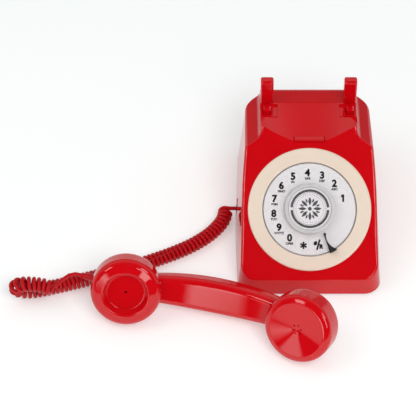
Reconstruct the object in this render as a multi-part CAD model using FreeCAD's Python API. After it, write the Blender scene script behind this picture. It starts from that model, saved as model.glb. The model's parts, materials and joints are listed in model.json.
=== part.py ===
"""Desk telephone with a rotary dial, a lifted handset and a curly handset cord.

Lengths are millimetres and angles are degrees. X runs to the right, Y to the back and Z up.
The origin is on the table, under the middle of the box round the base and the handset.
Base pieces and the cord are drawn from the middle of the base's front edge, dial pieces from
the middle of the dial with Z square to the dial, and handset pieces from midway between its caps.
"""
import FreeCAD
import Part
import math
import os

V = FreeCAD.Vector

# Place of the base on the table, and of the handset and its lean beside the base
BASE_X = 72.0
BASE_Y = -52.9
HANDSET_X = -99.3
HANDSET_Y = -54.5
HANDSET_YAW = 14.5
HANDSET_LEAN = 28.0

# Base outline at the table and at the crown of its leaning walls
FOOT_HEIGHT = 2.0
BASE_WIDTH = 147.6
FRONT_TAPER = 2.5
REAR_TAPER = 4.5
BASE_DEPTH = 201.0
MIDDLE_Y = 82.0
FRONT_CORNER = 17.0
REAR_CORNER = 20.0
SIDE_BOW = 800.0
CROWN_Z = 116.0
SIDE_LEAN = 10.0
FRONT_SIDE_LEAN = 12.0
REAR_SIDE_LEAN = 9.0
FRONT_LEAN = 10.5
REAR_LEAN = 12.5
CROWN_CORNER = 12.0
CROWN_BOW = 250.0
WALL = 2.6

# Dial slope, dished deck behind it and roof that falls away to the rear
SLOPE_ANGLE = 35.0
SLOPE_FOOT_Y = 1.5
SLOPE_FOOT_Z = 22.0
DECK_FRONT_Y = 100.0
DECK_FRONT_Z = 99.0
DECK_DISH = 15.5
DECK_REAR_Y = 163.0
DECK_REAR_Z = 108.0
DECK_REAR_DISH = 0.4
DECK_WIDTH = 97.0
ROOF_FALL = 12.0
ROOF_ROUND = 12.0
SHOULDER_Z = 104.5
SHOULDER_FALL = 27.0
SHOULDER_REAR_FALL = 12.0
SHOULDER_NOOK = 8.0
SHOULDER_STEEP = 2.0
SHOULDER_START_Y = 62.0
SHOULDER_COVER = 3.2
SHOULDER_OVERRUN = 0.5
SHOULDER_ROUND = 10.0
PANEL_ROUND = 3.0
CAVITY_Z = 88.0
POCKET_Z = 98.5
POCKET_WIDTH = 88.0
POCKET_REAR_Y = 183.0

# Cradle horns, saddles and hook plungers
HORN_INSIDE = 35.5
HORN_WIDTH = 13.0
HORN_Y = 161.0
HORN_TOP_DEPTH = 9.0
HORN_FOOT_DEPTH = 17.0
HORN_TOP_Z = 139.5
HORN_ROUND = 2.0
SADDLE_FRONT_Y = 143.5
SADDLE_Z = 105.3
SADDLE_INSIDE = 31.0
PLUNGER_X = 42.0
PLUNGER_Y = 152.0
PLUNGER_WIDTH = 7.4
PLUNGER_DEPTH = 6.4
PLUNGER_RISE = 7.0
PLUNGER_FIT = 0.4
HOOK_TRAVEL = 5.0
HOOK_BAR_Z = 84.0
HOOK_BAR_THICK = 4.0
HOOK_BAR_DEPTH = 8.0
SWITCH_SHELF_Z = 70.0
SHELF_THICK = 1.5
SHELF_LENGTH = 76.0
SHELF_FRONT_Y = 136.0
SHELF_REAR_Y = 162.0
PILLAR_X = 22.0
PILLAR_Y = 141.0
PILLAR_RADIUS = 4.0
HOOK_SPRING_X = 30.0
HOOK_SPRING_RADIUS = 3.6
HOOK_SPRING_WALL = 0.9

# Press bar at the foot of the deck
BAR_Y = 118.0
BAR_LENGTH = 30.0
BAR_DEPTH = 5.4
BAR_RISE = 2.6
BAR_SIDE_GAP = 0.4
BAR_END_GAP = 0.6
BAR_FLANGE = 3.0
BAR_FLANGE_THICK = 2.4
BAR_TRAVEL = 1.5

# Dial, in its own frame
DIAL_UP_SLOPE = 70.8
DIAL_HOLE_RADIUS = 50.0
DIAL_FIT = 0.3
BEZEL_RADIUS = 61.7
BEZEL_LAND = 2.5
BEZEL_HEIGHT = 3.2
PLATE_GAP = 1.2
PLATE_Z = 0.4
PLATE_THICK = 1.0
WHEEL_GAP = 1.8
WHEEL_Z = 5.4
WHEEL_THICK = 1.8
HOLE_COUNT = 12
HOLE_RADIUS = 6.4
HOLE_CIRCLE = 35.5
FIRST_HOLE_ANGLE = 22.5
HOLE_STEP = 23.5
HUB_RADIUS = 25.2
HUB_HEIGHT = 3.2
LABEL_RADIUS = 21.7
LABEL_FIT = 0.2
LABEL_THICK = 0.4
COVER_THICK = 1.0
COVER_LEDGE = 0.8
COVER_SINK = 0.1
LABEL_AIR = 0.3
BOSS_RADIUS = 16.0
SHAFT_RADIUS = 4.0
SHAFT_FIT = 0.05
SHAFT_COLLAR = 2.5
SHAFT_FOOT_Z = -25.0
BUSH_RADIUS = 7.5
BUSH_FOOT_Z = -18.5
FRAME_RADIUS = 56.0
FRAME_THICK = 2.0
SEAT_GAP = 2.7
SEAT_WIDTH = 4.5
STOP_GAP = 0.6
STOP_THICK = 1.6
STOP_TIP_RADIUS = 29.0
STOP_BASE_RADIUS = 48.6
STOP_ANGLE = -61.0

# Dial works below the frame plate
GEAR_MODULE = 1.2
DRIVE_TEETH = 40
PINION_TEETH = 8
GEAR_THICK = 2.2
GEAR_Z = -22.6
GOVERNOR_RADIUS = 9.0
GOVERNOR_DEPTH = 6.0
GOVERNOR_Z = -32.5
GOVERNOR_SHAFT = 1.5
BRACKET_Z = -37.0
BRACKET_THICK = 2.0
BRACKET_POST = 2.2
BRACKET_HALF = 13.0
SPRING_TURNS = 3
SPRING_INSIDE = 8.4
SPRING_PITCH = 2.4
SPRING_THICK = 0.8
SPRING_HEIGHT = 5.0
SPRING_Z = -12.5

# Base plate, feet and fixings
PLATE_FIT = 0.4
BASE_PLATE_THICK = 2.5
FOOT_RADIUS = 6.0
FOOT_FRONT_Y = 20.0
FOOT_REAR_Y = 178.0
FOOT_X = 46.0
SCREW_X = 57.0
SCREW_FRONT_Y = 26.0
SCREW_REAR_Y = 176.0
SCREW_RADIUS = 1.5
SCREW_HEAD_RADIUS = 3.0
SCREW_HEAD = 1.4
SCREW_LENGTH = 12.0
SCREW_FIT = 0.05
BOSS_OUTER = 4.5
SLOT_COUNT = 6
SLOT_LENGTH = 26.0
SLOT_WIDTH = 2.4
SLOT_STEP = 6.0

# Circuit board and bell
BOARD_WIDTH = 96.0
BOARD_FRONT_Y = 46.0
BOARD_REAR_Y = 108.0
BOARD_Z = 12.0
BOARD_THICK = 1.6
POST_RADIUS = 3.0
GONG_X = 27.5
GONG_Y = 157.0
GONG_RADIUS = 22.0
GONG_HEIGHT = 11.0
GONG_WALL = 1.2
GONG_Z = 30.0
GONG_POST_RADIUS = 3.0
BELL_PLATE_THICK = 1.5
COIL_RADIUS = 8.0
COIL_LENGTH = 20.0
COIL_Y = 128.0
CLAPPER_Y = 138.5
CLAPPER_LENGTH = 22.0
CLAPPER_BALL = 3.2
PIVOT_RADIUS = 1.5
PIVOT_FIT = 0.05

# Sockets
SOCKET_WIDTH = 14.0
SOCKET_DEPTH = 15.0
SOCKET_TOP_Z = 20.0
SOCKET_MID_Z = 12.5
SOCKET_FIT = 0.3
SOCKET_SINK = 2.0
PLUG_WIDTH = 7.7
PLUG_HEIGHT = 6.6
PLUG_LENGTH = 11.0
PLUG_FIT = 0.3
HANDSET_SOCKET_Y = 103.0
LINE_SOCKET_X = 30.0
LINE_OPENING_WIDTH = 9.8
LINE_OPENING_HEIGHT = 6.8
LINE_OPENING_DEPTH = 11.0

# Handset
CAP_SPACING = 172.0
CAP_TOE = 12.0
CAP_RADIUS = 35.0
CAP_HEIGHT = 17.0
CAP_WALL = 2.5
CAP_FIT = 0.3
LIP_RADIUS = 22.5
RECESS_RADIUS = 19.0
RECESS_DEPTH = 7.0
SPEECH_HOLE = 1.3
EAR_RIM_RADIUS = 28.5
EAR_DISH = 2.2
EAR_HOLES = 6
EAR_HOLE = 0.8
EAR_HOLE_CIRCLE = 4.5
CUP_STEP = 0.6
CUP_DEPTH = 16.0
CUP_ROUND = 11.0
CUP_WALL = 3.5
SPIGOT_WALL = 2.4
CAPSULE_RADIUS = 25.0
CAPSULE_HEIGHT = 12.0
CAPSULE_STEP = 18.0
CAPSULE_FACE = 4.0
HANDLE_END_X = 74.0
HANDLE_END_DEPTH = 28.5
HANDLE_MID_DEPTH = 42.5
HANDLE_END_WIDTH = 27.0
HANDLE_MID_WIDTH = 34.0
HANDLE_END_THICK = 18.0
HANDLE_MID_THICK = 22.0
HANDLE_ROUND = 6.5
GROMMET_RADIUS = 4.2
GROMMET_TIP_RADIUS = 2.9
GROMMET_NECK = 4.5
GROMMET_LENGTH = 11.0
GROMMET_DEPTH = 24.5
GROMMET_FIT = 0.2

# Curly cord
WIRE = 3.9
COIL_OUTSIDE = 15.8
COIL_GAP = 0.66
WIRE_SIDES = 6
LEAD_STRAIGHT = 3.6
COIL_START_ANGLE = 40.0
COIL_END_ANGLE = 255.0
CORD_ROUTE = [
    (-84.0, 94.0, 8.1),
    (-92.0, 80.5, 8.1),
    (-103.0, 68.5, 8.1),
    (-117.0, 57.7, 8.1),
    (-133.0, 48.7, 8.1),
    (-151.0, 40.2, 8.1),
    (-171.0, 31.7, 8.1),
    (-193.0, 23.7, 8.1),
    (-215.0, 16.4, 8.1),
    (-237.0, 9.4, 8.1),
    (-257.0, 3.5, 8.1),
    (-271.0, -0.2, 8.1),
    (-281.5, -2.0, 8.4),
    (-289.1, -3.5, 11.4),
    (-292.2, -6.5, 18.3),
    (-289.1, -9.5, 25.2),
    (-281.5, -11.0, 28.2),
    (-271.0, -11.5, 28.7),
    (-261.0, -13.0, 28.6),
    (-252.0, -16.5, 28.0),
]


def rounded_wire(points, radii):
    """Closed outline through the corner points, each corner rounded by its own radius."""
    starts = []
    ends = []
    arcs = []
    count = len(points)
    for i in range(count):
        corner = points[i]
        way_in = (corner - points[i - 1]).normalize()
        way_out = (points[(i + 1) % count] - corner).normalize()
        turn = way_in.getAngle(way_out)
        reach = radii[i] * math.tan(turn / 2)
        starts.append(corner - way_in * reach)
        ends.append(corner + way_out * reach)
        arcs.append(None)
        if radii[i] > 0:
            inward = (way_out - way_in).normalize()
            middle = corner + inward * (radii[i] * (1 / math.cos(turn / 2) - 1))
            arcs[i] = Part.Arc(starts[i], middle, ends[i]).toShape()
    edges = []
    for i in range(count):
        if (starts[i] - ends[i - 1]).Length > 1e-6:
            edges.append(Part.LineSegment(ends[i - 1], starts[i]).toShape())
        if arcs[i]:
            edges.append(arcs[i])
    return Part.Wire(edges)


def prism(points, radii, way):
    """Solid swept straight along a way from a rounded outline."""
    return Part.Face(rounded_wire(points, radii)).extrude(way)


def turned(profile, radii=None):
    """Solid turned about Z from (radius, height) corners."""
    points = [V(r, 0, z) for r, z in profile]
    wire = rounded_wire(points, radii or [0] * len(points))
    return Part.Face(wire).revolve(V(0, 0, 0), V(0, 0, 1), 360)


def block(x0, x1, y0, y1, z0, z1):
    """Box between two corners."""
    return Part.makeBox(x1 - x0, y1 - y0, z1 - z0, V(x0, y0, z0))


def rod(radius, x, y, z0, z1):
    """Upright cylinder."""
    return Part.makeCylinder(radius, z1 - z0, V(x, y, z0))


def fused(pieces):
    """One solid from pieces that meet."""
    return pieces[0].multiFuse(pieces[1:]).removeSplitter().Solids[0]


def middle_of(edge):
    """Point halfway along an edge."""
    return edge.valueAt((edge.FirstParameter + edge.LastParameter) / 2)


def edge_points(edge):
    """Five points along an edge, both ends included."""
    span = edge.LastParameter - edge.FirstParameter
    return [edge.valueAt(edge.FirstParameter + span * k / 4) for k in range(5)]


# Housing of the base

SLOPE_RISE = math.tan(math.radians(SLOPE_ANGLE))
ROOF_DROP = math.tan(math.radians(ROOF_FALL))
HALF_DECK = DECK_WIDTH / 2
HALF_WIDTH = BASE_WIDTH / 2
SHOULDER_OUT = HALF_WIDTH - SIDE_LEAN - HALF_DECK + SHOULDER_OVERRUN
FAR = 300.0


def slope_z(y):
    """Height of the dial slope over a point of the base's depth."""
    return SLOPE_FOOT_Z + (y - SLOPE_FOOT_Y) * SLOPE_RISE


def roof_z(y):
    """Height of the falling rear roof."""
    return DECK_REAR_Z - (y - DECK_REAR_Y) * ROOF_DROP


def deck_z(y):
    """Height of the deck along its middle line."""
    share = (y - DECK_FRONT_Y) / (DECK_REAR_Y - DECK_FRONT_Y)
    rear = DECK_REAR_Z - DECK_REAR_DISH
    return DECK_FRONT_Z + (rear - DECK_FRONT_Z) * share


def plan_outline(z, halves, ys, radii):
    """Six-cornered plan outline, symmetric about the middle."""
    front, middle, rear = halves
    right = [V(front, ys[0], z), V(middle, ys[1], z), V(rear, ys[2], z)]
    left = [V(-p.x, p.y, p.z) for p in reversed(right)]
    points = right + left
    corners = list(radii) + list(reversed(radii))
    return rounded_wire(points, corners)


def leaning_walls(inset):
    """Solid between the table outline and the crown outline, drawn in by an inset."""
    half = HALF_WIDTH - inset
    front = half - FRONT_TAPER
    rear = half - REAR_TAPER
    rear_y = BASE_DEPTH - inset
    low = plan_outline(
        FOOT_HEIGHT,
        (front, half, rear),
        (inset, MIDDLE_Y, rear_y),
        (FRONT_CORNER - inset, SIDE_BOW, REAR_CORNER - inset),
    )
    high = plan_outline(
        CROWN_Z,
        (front - FRONT_SIDE_LEAN, half - SIDE_LEAN, rear - REAR_SIDE_LEAN),
        (inset + FRONT_LEAN, MIDDLE_Y, rear_y - REAR_LEAN),
        (CROWN_CORNER - inset, CROWN_BOW, REAR_CORNER - inset),
    )
    return Part.makeLoft([low, high], True, True)


def above_slope(drop):
    """Everything over the dial slope, or over a plane that lies a drop below it."""
    down = drop / math.cos(math.radians(SLOPE_ANGLE))
    points = [
        V(-FAR, -FAR, slope_z(-FAR) - down),
        V(-FAR, FAR, slope_z(FAR) - down),
        V(-FAR, FAR, 2 * FAR),
        V(-FAR, -FAR, 2 * FAR),
    ]
    return prism(points, [0] * 4, V(2 * FAR, 0, 0))


def above_roof():
    """Everything over the rear roof."""
    points = [
        V(-FAR, 0, roof_z(0)),
        V(-FAR, FAR, roof_z(FAR)),
        V(-FAR, FAR, 2 * FAR),
        V(-FAR, 0, 2 * FAR),
    ]
    return prism(points, [0] * 4, V(2 * FAR, 0, 0))


def deck_section(y, middle_z, dish):
    """Section of the space over the deck, round below and square above."""
    left = V(-HALF_DECK, y, middle_z + dish)
    right = V(HALF_DECK, y, middle_z + dish)
    lift = V(0, 0, FAR / 4)
    edges = [
        Part.Arc(left, V(0, y, middle_z), right).toShape(),
        Part.LineSegment(right, right + lift).toShape(),
        Part.LineSegment(right + lift, left + lift).toShape(),
        Part.LineSegment(left + lift, left).toShape(),
    ]
    return Part.Wire(edges)


def above_deck():
    """Space over the deck, dished at its front and nearly flat at its rear edge."""
    front = deck_section(DECK_FRONT_Y, DECK_FRONT_Z, DECK_DISH)
    rear = deck_section(DECK_REAR_Y, DECK_REAR_Z - DECK_REAR_DISH, DECK_REAR_DISH)
    return Part.makeLoft([front, rear], True, True)


def beside_deck(side):
    """Space over one shoulder, which falls from the deck's side to the leaning wall and to the rear."""
    neck_y = SLOPE_FOOT_Y + (SHOULDER_Z - SLOPE_FOOT_Z) / SLOPE_RISE
    back = math.tan(math.radians(SHOULDER_REAR_FALL))
    top_z = SHOULDER_Z + (neck_y - SHOULDER_START_Y) * back
    low_z = top_z - SHOULDER_OUT * math.tan(math.radians(SHOULDER_FALL))
    steep = SHOULDER_OUT * SHOULDER_STEEP
    points = [
        V(side * HALF_DECK, SHOULDER_START_Y, FAR),
        V(side * HALF_DECK, SHOULDER_START_Y, top_z),
        V(side * (HALF_DECK + SHOULDER_OUT), SHOULDER_START_Y, low_z),
        V(side * (HALF_DECK + SHOULDER_OUT + steep / 4), SHOULDER_START_Y, low_z - steep),
        V(side * FAR, SHOULDER_START_Y, low_z - steep),
        V(side * FAR, SHOULDER_START_Y, FAR),
    ]
    radii = [0, SHOULDER_NOOK, SHOULDER_ROUND, 0, 0, 0]
    return prism(points, radii, V(0, FAR, -FAR * back))


def on_surface(edge, height):
    """Does an edge lie on the surface whose height over Y is given?"""
    return all(abs(p.z - height(p.y)) < 0.02 for p in edge_points(edge))


def is_panel_edge(edge):
    """Edges round the dial slope, but not the one where the deck begins."""
    middle = middle_of(edge)
    meets_deck = abs(middle.x) < 1 and middle.y > DECK_FRONT_Y
    return on_surface(edge, slope_z) and not meets_deck


def is_roof_edge(edge):
    """Edges of the rear roof along the side and rear walls."""
    return on_surface(edge, roof_z) and not on_surface(edge, slope_z)


def round_edges(shape, radius, wanted):
    """Round every edge that a test picks out."""
    solid = shape.Solids[0]
    return solid.makeFillet(radius, [e for e in solid.Edges if wanted(e)])


def housing_form():
    """Outside of the base without its horns."""
    form = leaning_walls(0).cut(above_slope(0)).cut(above_roof())
    form = round_edges(form, ROOF_ROUND, is_roof_edge)
    form = form.cut(above_deck())
    form = form.cut(beside_deck(-1)).cut(beside_deck(1))
    return round_edges(form, PANEL_ROUND, is_panel_edge).Solids[0]


def horn(side):
    """One cradle horn, upright in front and buttressed behind."""
    x = side * HORN_INSIDE
    foot_z = SADDLE_Z - 6
    points = [
        V(x, HORN_Y, foot_z),
        V(x, HORN_Y + HORN_FOOT_DEPTH, foot_z),
        V(x, HORN_Y + HORN_TOP_DEPTH, HORN_TOP_Z),
        V(x, HORN_Y, HORN_TOP_Z),
    ]
    blade = prism(points, [0, 0, 3.5, 2.5], V(side * HORN_WIDTH, 0, 0))
    edges = [e for e in blade.Edges if middle_of(e).z > foot_z + 1 and abs(e.tangentAt(e.FirstParameter).x) < 0.5]
    return blade.makeFillet(HORN_ROUND, edges)


def saddle_space(side):
    """Scoop in front of a horn where the handset's handle lies."""
    x = side * SADDLE_INSIDE
    top = SADDLE_Z + 20
    points = [
        V(x, SADDLE_FRONT_Y - 7.5, top),
        V(x, SADDLE_FRONT_Y, SADDLE_Z),
        V(x, HORN_Y, SADDLE_Z),
        V(x, HORN_Y, top),
    ]
    return prism(points, [0, 5, 3, 0], V(side * FAR, 0, 0))


def plunger_hole(side):
    """Hole through the saddle for a plunger."""
    half_w = PLUNGER_WIDTH / 2 + PLUNGER_FIT
    half_d = PLUNGER_DEPTH / 2 + PLUNGER_FIT
    x = side * PLUNGER_X
    return block(x - half_w, x + half_w, PLUNGER_Y - half_d, PLUNGER_Y + half_d, CAVITY_Z - 1, DECK_REAR_Z + 9)


def bar_slot():
    """Slot in the deck for the press bar."""
    half_l = BAR_LENGTH / 2 + BAR_END_GAP
    half_d = BAR_DEPTH / 2 + BAR_SIDE_GAP
    return block(-half_l, half_l, BAR_Y - half_d, BAR_Y + half_d, CAVITY_Z, DECK_REAR_Z)


def screw_places():
    """The four screws that hold the base plate."""
    return [(s * SCREW_X, y) for y in (SCREW_FRONT_Y, SCREW_REAR_Y) for s in (-1, 1)]


def pillar_places():
    """Pillars that hang from the roof and carry the switch shelf."""
    return [(s * PILLAR_X, PILLAR_Y) for s in (-1, 1)]


PLATE_TOP_Z = FOOT_HEIGHT + BASE_PLATE_THICK


def socket_hole_left():
    """Hole in the left wall for the handset cord's socket."""
    half = SOCKET_WIDTH / 2 + SOCKET_FIT
    y = HANDSET_SOCKET_Y
    return block(-BASE_WIDTH, -HALF_WIDTH + SOCKET_DEPTH, y - half, y + half,
                 PLATE_TOP_Z - 0.5, SOCKET_TOP_Z + SOCKET_FIT)


def socket_hole_rear():
    """Hole in the rear wall for the line socket."""
    half = SOCKET_WIDTH / 2 + SOCKET_FIT
    x = LINE_SOCKET_X
    return block(x - half, x + half, BASE_DEPTH - SOCKET_DEPTH, BASE_DEPTH + 20,
                 PLATE_TOP_Z - 0.5, SOCKET_TOP_Z + SOCKET_FIT)


def housing():
    """Moulded upper shell of the base with its horns, bosses and openings."""
    form = housing_form()
    low = leaning_walls(WALL).cut(above_slope(WALL))
    cavity = low.common(block(-FAR, FAR, -FAR, FAR, 0, CAVITY_Z))
    half = POCKET_WIDTH / 2
    pocket = low.common(block(-half, half, 0, POCKET_REAR_Y, CAVITY_Z - 1, POCKET_Z))
    for side in (-1, 1):
        cover = beside_deck(side)
        cover.translate(V(-side * WALL, 0, -SHOULDER_COVER))
        cavity = cavity.cut(cover)
    bosses = []
    for x, y in screw_places():
        bosses.append(rod(BOSS_OUTER, x, y, PLATE_TOP_Z, CAVITY_Z + 2).common(form))
    for x, y in pillar_places():
        bosses.append(rod(PILLAR_RADIUS, x, y, SWITCH_SHELF_Z, POCKET_Z + 1))
    shell = form.cut(cavity).cut(pocket)
    shell = shell.cut(saddle_space(-1)).cut(saddle_space(1))
    shell = shell.multiFuse([horn(-1), horn(1)] + bosses)
    holes = [plunger_hole(-1), plunger_hole(1), bar_slot(), socket_hole_left(), socket_hole_rear()]
    for x, y in screw_places():
        holes.append(rod(SCREW_RADIUS + SCREW_FIT, x, y, 0, PLATE_TOP_Z + SCREW_LENGTH))
    holes.append(on_dial(rod(DIAL_HOLE_RADIUS, 0, 0, -8, 8)))
    shell = shell.cut(Part.makeCompound(holes))
    return shell.Solids[0]


# Dial

DIAL_Y = SLOPE_FOOT_Y + DIAL_UP_SLOPE * math.cos(math.radians(SLOPE_ANGLE))
DIAL_Z = SLOPE_FOOT_Z + DIAL_UP_SLOPE * math.sin(math.radians(SLOPE_ANGLE))
BEZEL_INSIDE = DIAL_HOLE_RADIUS - DIAL_FIT - BEZEL_LAND
PLATE_RADIUS = BEZEL_INSIDE - PLATE_GAP
WHEEL_RADIUS = BEZEL_INSIDE - WHEEL_GAP
SEAT_RADIUS = BEZEL_INSIDE - SEAT_GAP
FRAME_TOP = -WALL
FRAME_FOOT = -WALL - FRAME_THICK
HUB_Z = WHEEL_Z + WHEEL_THICK
COVER_Z = HUB_Z + HUB_HEIGHT - COVER_SINK - COVER_THICK
LABEL_Z = COVER_Z - LABEL_AIR - LABEL_THICK
STOP_Z = HUB_Z + STOP_GAP


def on_dial(shape):
    """Stand a dial piece on the slope of the base."""
    place = FreeCAD.Placement(V(0, DIAL_Y, DIAL_Z), FreeCAD.Rotation(V(1, 0, 0), SLOPE_ANGLE))
    return shape.transformed(place.toMatrix(), True)


def around(radius, angle, z=0):
    """Point on a circle about the dial's axis."""
    a = math.radians(angle)
    return V(radius * math.cos(a), radius * math.sin(a), z)


def dial_bezel():
    """Broad ring on the slope with a spigot that centres it in the housing."""
    spigot = DIAL_HOLE_RADIUS - DIAL_FIT
    profile = [
        (BEZEL_INSIDE, FRAME_TOP),
        (spigot, FRAME_TOP),
        (spigot, 0),
        (BEZEL_RADIUS, 0),
        (BEZEL_RADIUS, BEZEL_HEIGHT),
        (BEZEL_INSIDE, BEZEL_HEIGHT),
    ]
    return turned(profile, [0, 0, 0, 0, 1.8, 1.0])


def number_plate():
    """Plate that carries the numbers under the finger wheel."""
    return turned([(BOSS_RADIUS + 2, PLATE_Z), (PLATE_RADIUS, PLATE_Z),
                   (PLATE_RADIUS, PLATE_Z + PLATE_THICK), (BOSS_RADIUS + 2, PLATE_Z + PLATE_THICK)])


def hole_angles():
    """Angles of the finger holes, counted from the right, the first number first."""
    return [FIRST_HOLE_ANGLE + HOLE_STEP * i for i in range(HOLE_COUNT)]


def finger_wheel():
    """Clear wheel with a rounded rim and a finger hole over each number."""
    inside = SHAFT_RADIUS + 5
    top = WHEEL_Z + WHEEL_THICK
    wheel = turned([(inside, WHEEL_Z), (WHEEL_RADIUS, WHEEL_Z), (WHEEL_RADIUS, top), (inside, top)],
                   [0, 0.6, 0.6, 0])
    holes = []
    for angle in hole_angles():
        p = around(HOLE_CIRCLE, angle)
        holes.append(rod(HOLE_RADIUS, p.x, p.y, WHEEL_Z - 1, top + 1))
    return wheel.cut(Part.makeCompound(holes)).Solids[0]


def wheel_boss():
    """Boss that clamps the wheel from below and centres it on the shaft."""
    bore = SHAFT_RADIUS + 0.02
    centre = SHAFT_RADIUS + 4.8
    foot = PLATE_Z + 0.6
    return turned([(bore, foot), (BOSS_RADIUS, foot), (BOSS_RADIUS, WHEEL_Z),
                   (centre, WHEEL_Z), (centre, HUB_Z), (bore, HUB_Z)], [0, 0.8, 0, 0, 0, 0])


def hub_ring():
    """Raised hub over the wheel, recessed for the label, its cover's ledge, and two clip notches in its rim."""
    top = HUB_Z + HUB_HEIGHT
    inside = LABEL_RADIUS + LABEL_FIT
    well = inside - COVER_LEDGE
    ring = turned([(0, HUB_Z), (HUB_RADIUS, HUB_Z), (HUB_RADIUS, top), (inside, top),
                   (inside, COVER_Z), (well, COVER_Z), (well, LABEL_Z), (0, LABEL_Z)],
                  [0, 0, 1.4, 0.5, 0, 0, 0, 0])
    notches = [block(-0.8, 0.8, s * HUB_RADIUS - 1.6, s * HUB_RADIUS + 1.6, HUB_Z + 1, top + 1) for s in (-1, 1)]
    return ring.cut(Part.makeCompound(notches)).Solids[0]


def label_card():
    """Paper disc in the hub."""
    return rod(LABEL_RADIUS - COVER_LEDGE, 0, 0, LABEL_Z, LABEL_Z + LABEL_THICK)


def label_cover():
    """Clear disc on the ledge over the label."""
    return rod(LABEL_RADIUS, 0, 0, COVER_Z, COVER_Z + COVER_THICK)


def finger_stop():
    """Hooked stop that stands on the bezel and reaches in over the wheel."""
    base_left = around(STOP_BASE_RADIUS, STOP_ANGLE - 4.6, STOP_Z)
    base_right = around(STOP_BASE_RADIUS, STOP_ANGLE + 5.4, STOP_Z)
    tip_left = around(STOP_TIP_RADIUS, STOP_ANGLE - 1.2, STOP_Z)
    tip_right = around(STOP_TIP_RADIUS + 0.6, STOP_ANGLE + 3.6, STOP_Z)
    hollow = around(STOP_TIP_RADIUS * 0.34 + STOP_BASE_RADIUS * 0.66, STOP_ANGLE + 0.2, STOP_Z)
    rim = around(STOP_BASE_RADIUS + 0.35, STOP_ANGLE + 0.4, STOP_Z)
    nose = around(STOP_TIP_RADIUS - 1.0, STOP_ANGLE + 1.4, STOP_Z)
    edges = [
        Part.LineSegment(tip_left, base_left).toShape(),
        Part.Arc(base_left, rim, base_right).toShape(),
        Part.Arc(base_right, hollow, tip_right).toShape(),
        Part.Arc(tip_right, nose, tip_left).toShape(),
    ]
    blade = Part.Face(Part.Wire(edges)).extrude(V(0, 0, STOP_THICK))
    foot_ring = turned([(BEZEL_INSIDE + 0.3, BEZEL_HEIGHT), (STOP_BASE_RADIUS - 0.2, BEZEL_HEIGHT),
                        (STOP_BASE_RADIUS - 0.2, STOP_Z + STOP_THICK), (BEZEL_INSIDE + 0.3, STOP_Z + STOP_THICK)])
    under = Part.Face(Part.Wire(edges)).extrude(V(0, 0, BEZEL_HEIGHT - STOP_Z))
    foot = foot_ring.common(under)
    return fused([blade, foot])


def dial_shaft():
    """Steel shaft of the finger wheel, with the collar that carries the drive gear."""
    shaft = rod(SHAFT_RADIUS, 0, 0, SHAFT_FOOT_Z, HUB_Z)
    collar = rod(SHAFT_RADIUS + SHAFT_COLLAR, 0, 0, SHAFT_FOOT_Z, GEAR_Z)
    return fused([shaft, collar])


def dial_frame():
    """Plate under the housing with the shaft's bush and the seat of the number plate."""
    bore = SHAFT_RADIUS + SHAFT_FIT
    frame = turned([
        (bore, BUSH_FOOT_Z),
        (BUSH_RADIUS, BUSH_FOOT_Z),
        (BUSH_RADIUS, FRAME_FOOT),
        (FRAME_RADIUS, FRAME_FOOT),
        (FRAME_RADIUS, FRAME_TOP),
        (SEAT_RADIUS, FRAME_TOP),
        (SEAT_RADIUS, PLATE_Z),
        (SEAT_RADIUS - SEAT_WIDTH, PLATE_Z),
        (SEAT_RADIUS - SEAT_WIDTH, FRAME_TOP),
        (bore, FRAME_TOP),
    ])
    bearing = rod(GOVERNOR_SHAFT + PIVOT_FIT, 0, GEAR_DISTANCE, FRAME_FOOT - 1, FRAME_TOP + 1)
    return frame.cut(bearing).Solids[0]


DRIVE_RADIUS = GEAR_MODULE * DRIVE_TEETH / 2
PINION_RADIUS = GEAR_MODULE * PINION_TEETH / 2
GEAR_DISTANCE = DRIVE_RADIUS + PINION_RADIUS


def toothed(teeth, z, thick, bore, turn):
    """Spur wheel with straight-sided teeth, turned so that a tooth stands at the given angle."""
    pitch = GEAR_MODULE * teeth / 2
    tip = pitch + 0.75 * GEAR_MODULE
    root = pitch - 1.0 * GEAR_MODULE
    step = 360.0 / teeth
    points = []
    for i in range(teeth):
        a = turn + i * step
        points.append(around(root, a - 0.27 * step, z))
        points.append(around(tip, a - 0.12 * step, z))
        points.append(around(tip, a + 0.12 * step, z))
        points.append(around(root, a + 0.27 * step, z))
    wheel = prism(points, [0] * len(points), V(0, 0, thick))
    return wheel.cut(rod(bore, 0, 0, z - 1, z + thick + 1)).Solids[0]


def drive_gear():
    """Wheel at the foot of the dial shaft."""
    return toothed(DRIVE_TEETH, GEAR_Z, GEAR_THICK, SHAFT_RADIUS + 0.02, 90)


def governor():
    """Pinion, shaft and drum that hold the dial's return to a steady speed."""
    pinion = toothed(PINION_TEETH, GEAR_Z - 0.2, GEAR_THICK + 0.4, 0.5, 270 + 180.0 / PINION_TEETH)
    shaft = rod(GOVERNOR_SHAFT, 0, 0, BRACKET_Z + 0.4, FRAME_TOP)
    drum = rod(GOVERNOR_RADIUS, 0, 0, GOVERNOR_Z, GOVERNOR_Z + GOVERNOR_DEPTH)
    body = fused([shaft, pinion, drum])
    body.translate(V(0, GEAR_DISTANCE, 0))
    return body


def governor_bracket():
    """Bridge with two posts and the lower bearing of the governor."""
    half = BRACKET_HALF + BRACKET_POST + 1
    bridge = block(-half, half, GEAR_DISTANCE - 6, GEAR_DISTANCE + 6, BRACKET_Z, BRACKET_Z + BRACKET_THICK)
    posts = [rod(BRACKET_POST, s * BRACKET_HALF, GEAR_DISTANCE, BRACKET_Z, FRAME_FOOT) for s in (-1, 1)]
    bearing = rod(GOVERNOR_SHAFT + PIVOT_FIT, 0, GEAR_DISTANCE, BRACKET_Z - 1, BRACKET_Z + BRACKET_THICK + 1)
    return fused([bridge] + posts).cut(bearing).Solids[0]


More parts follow.
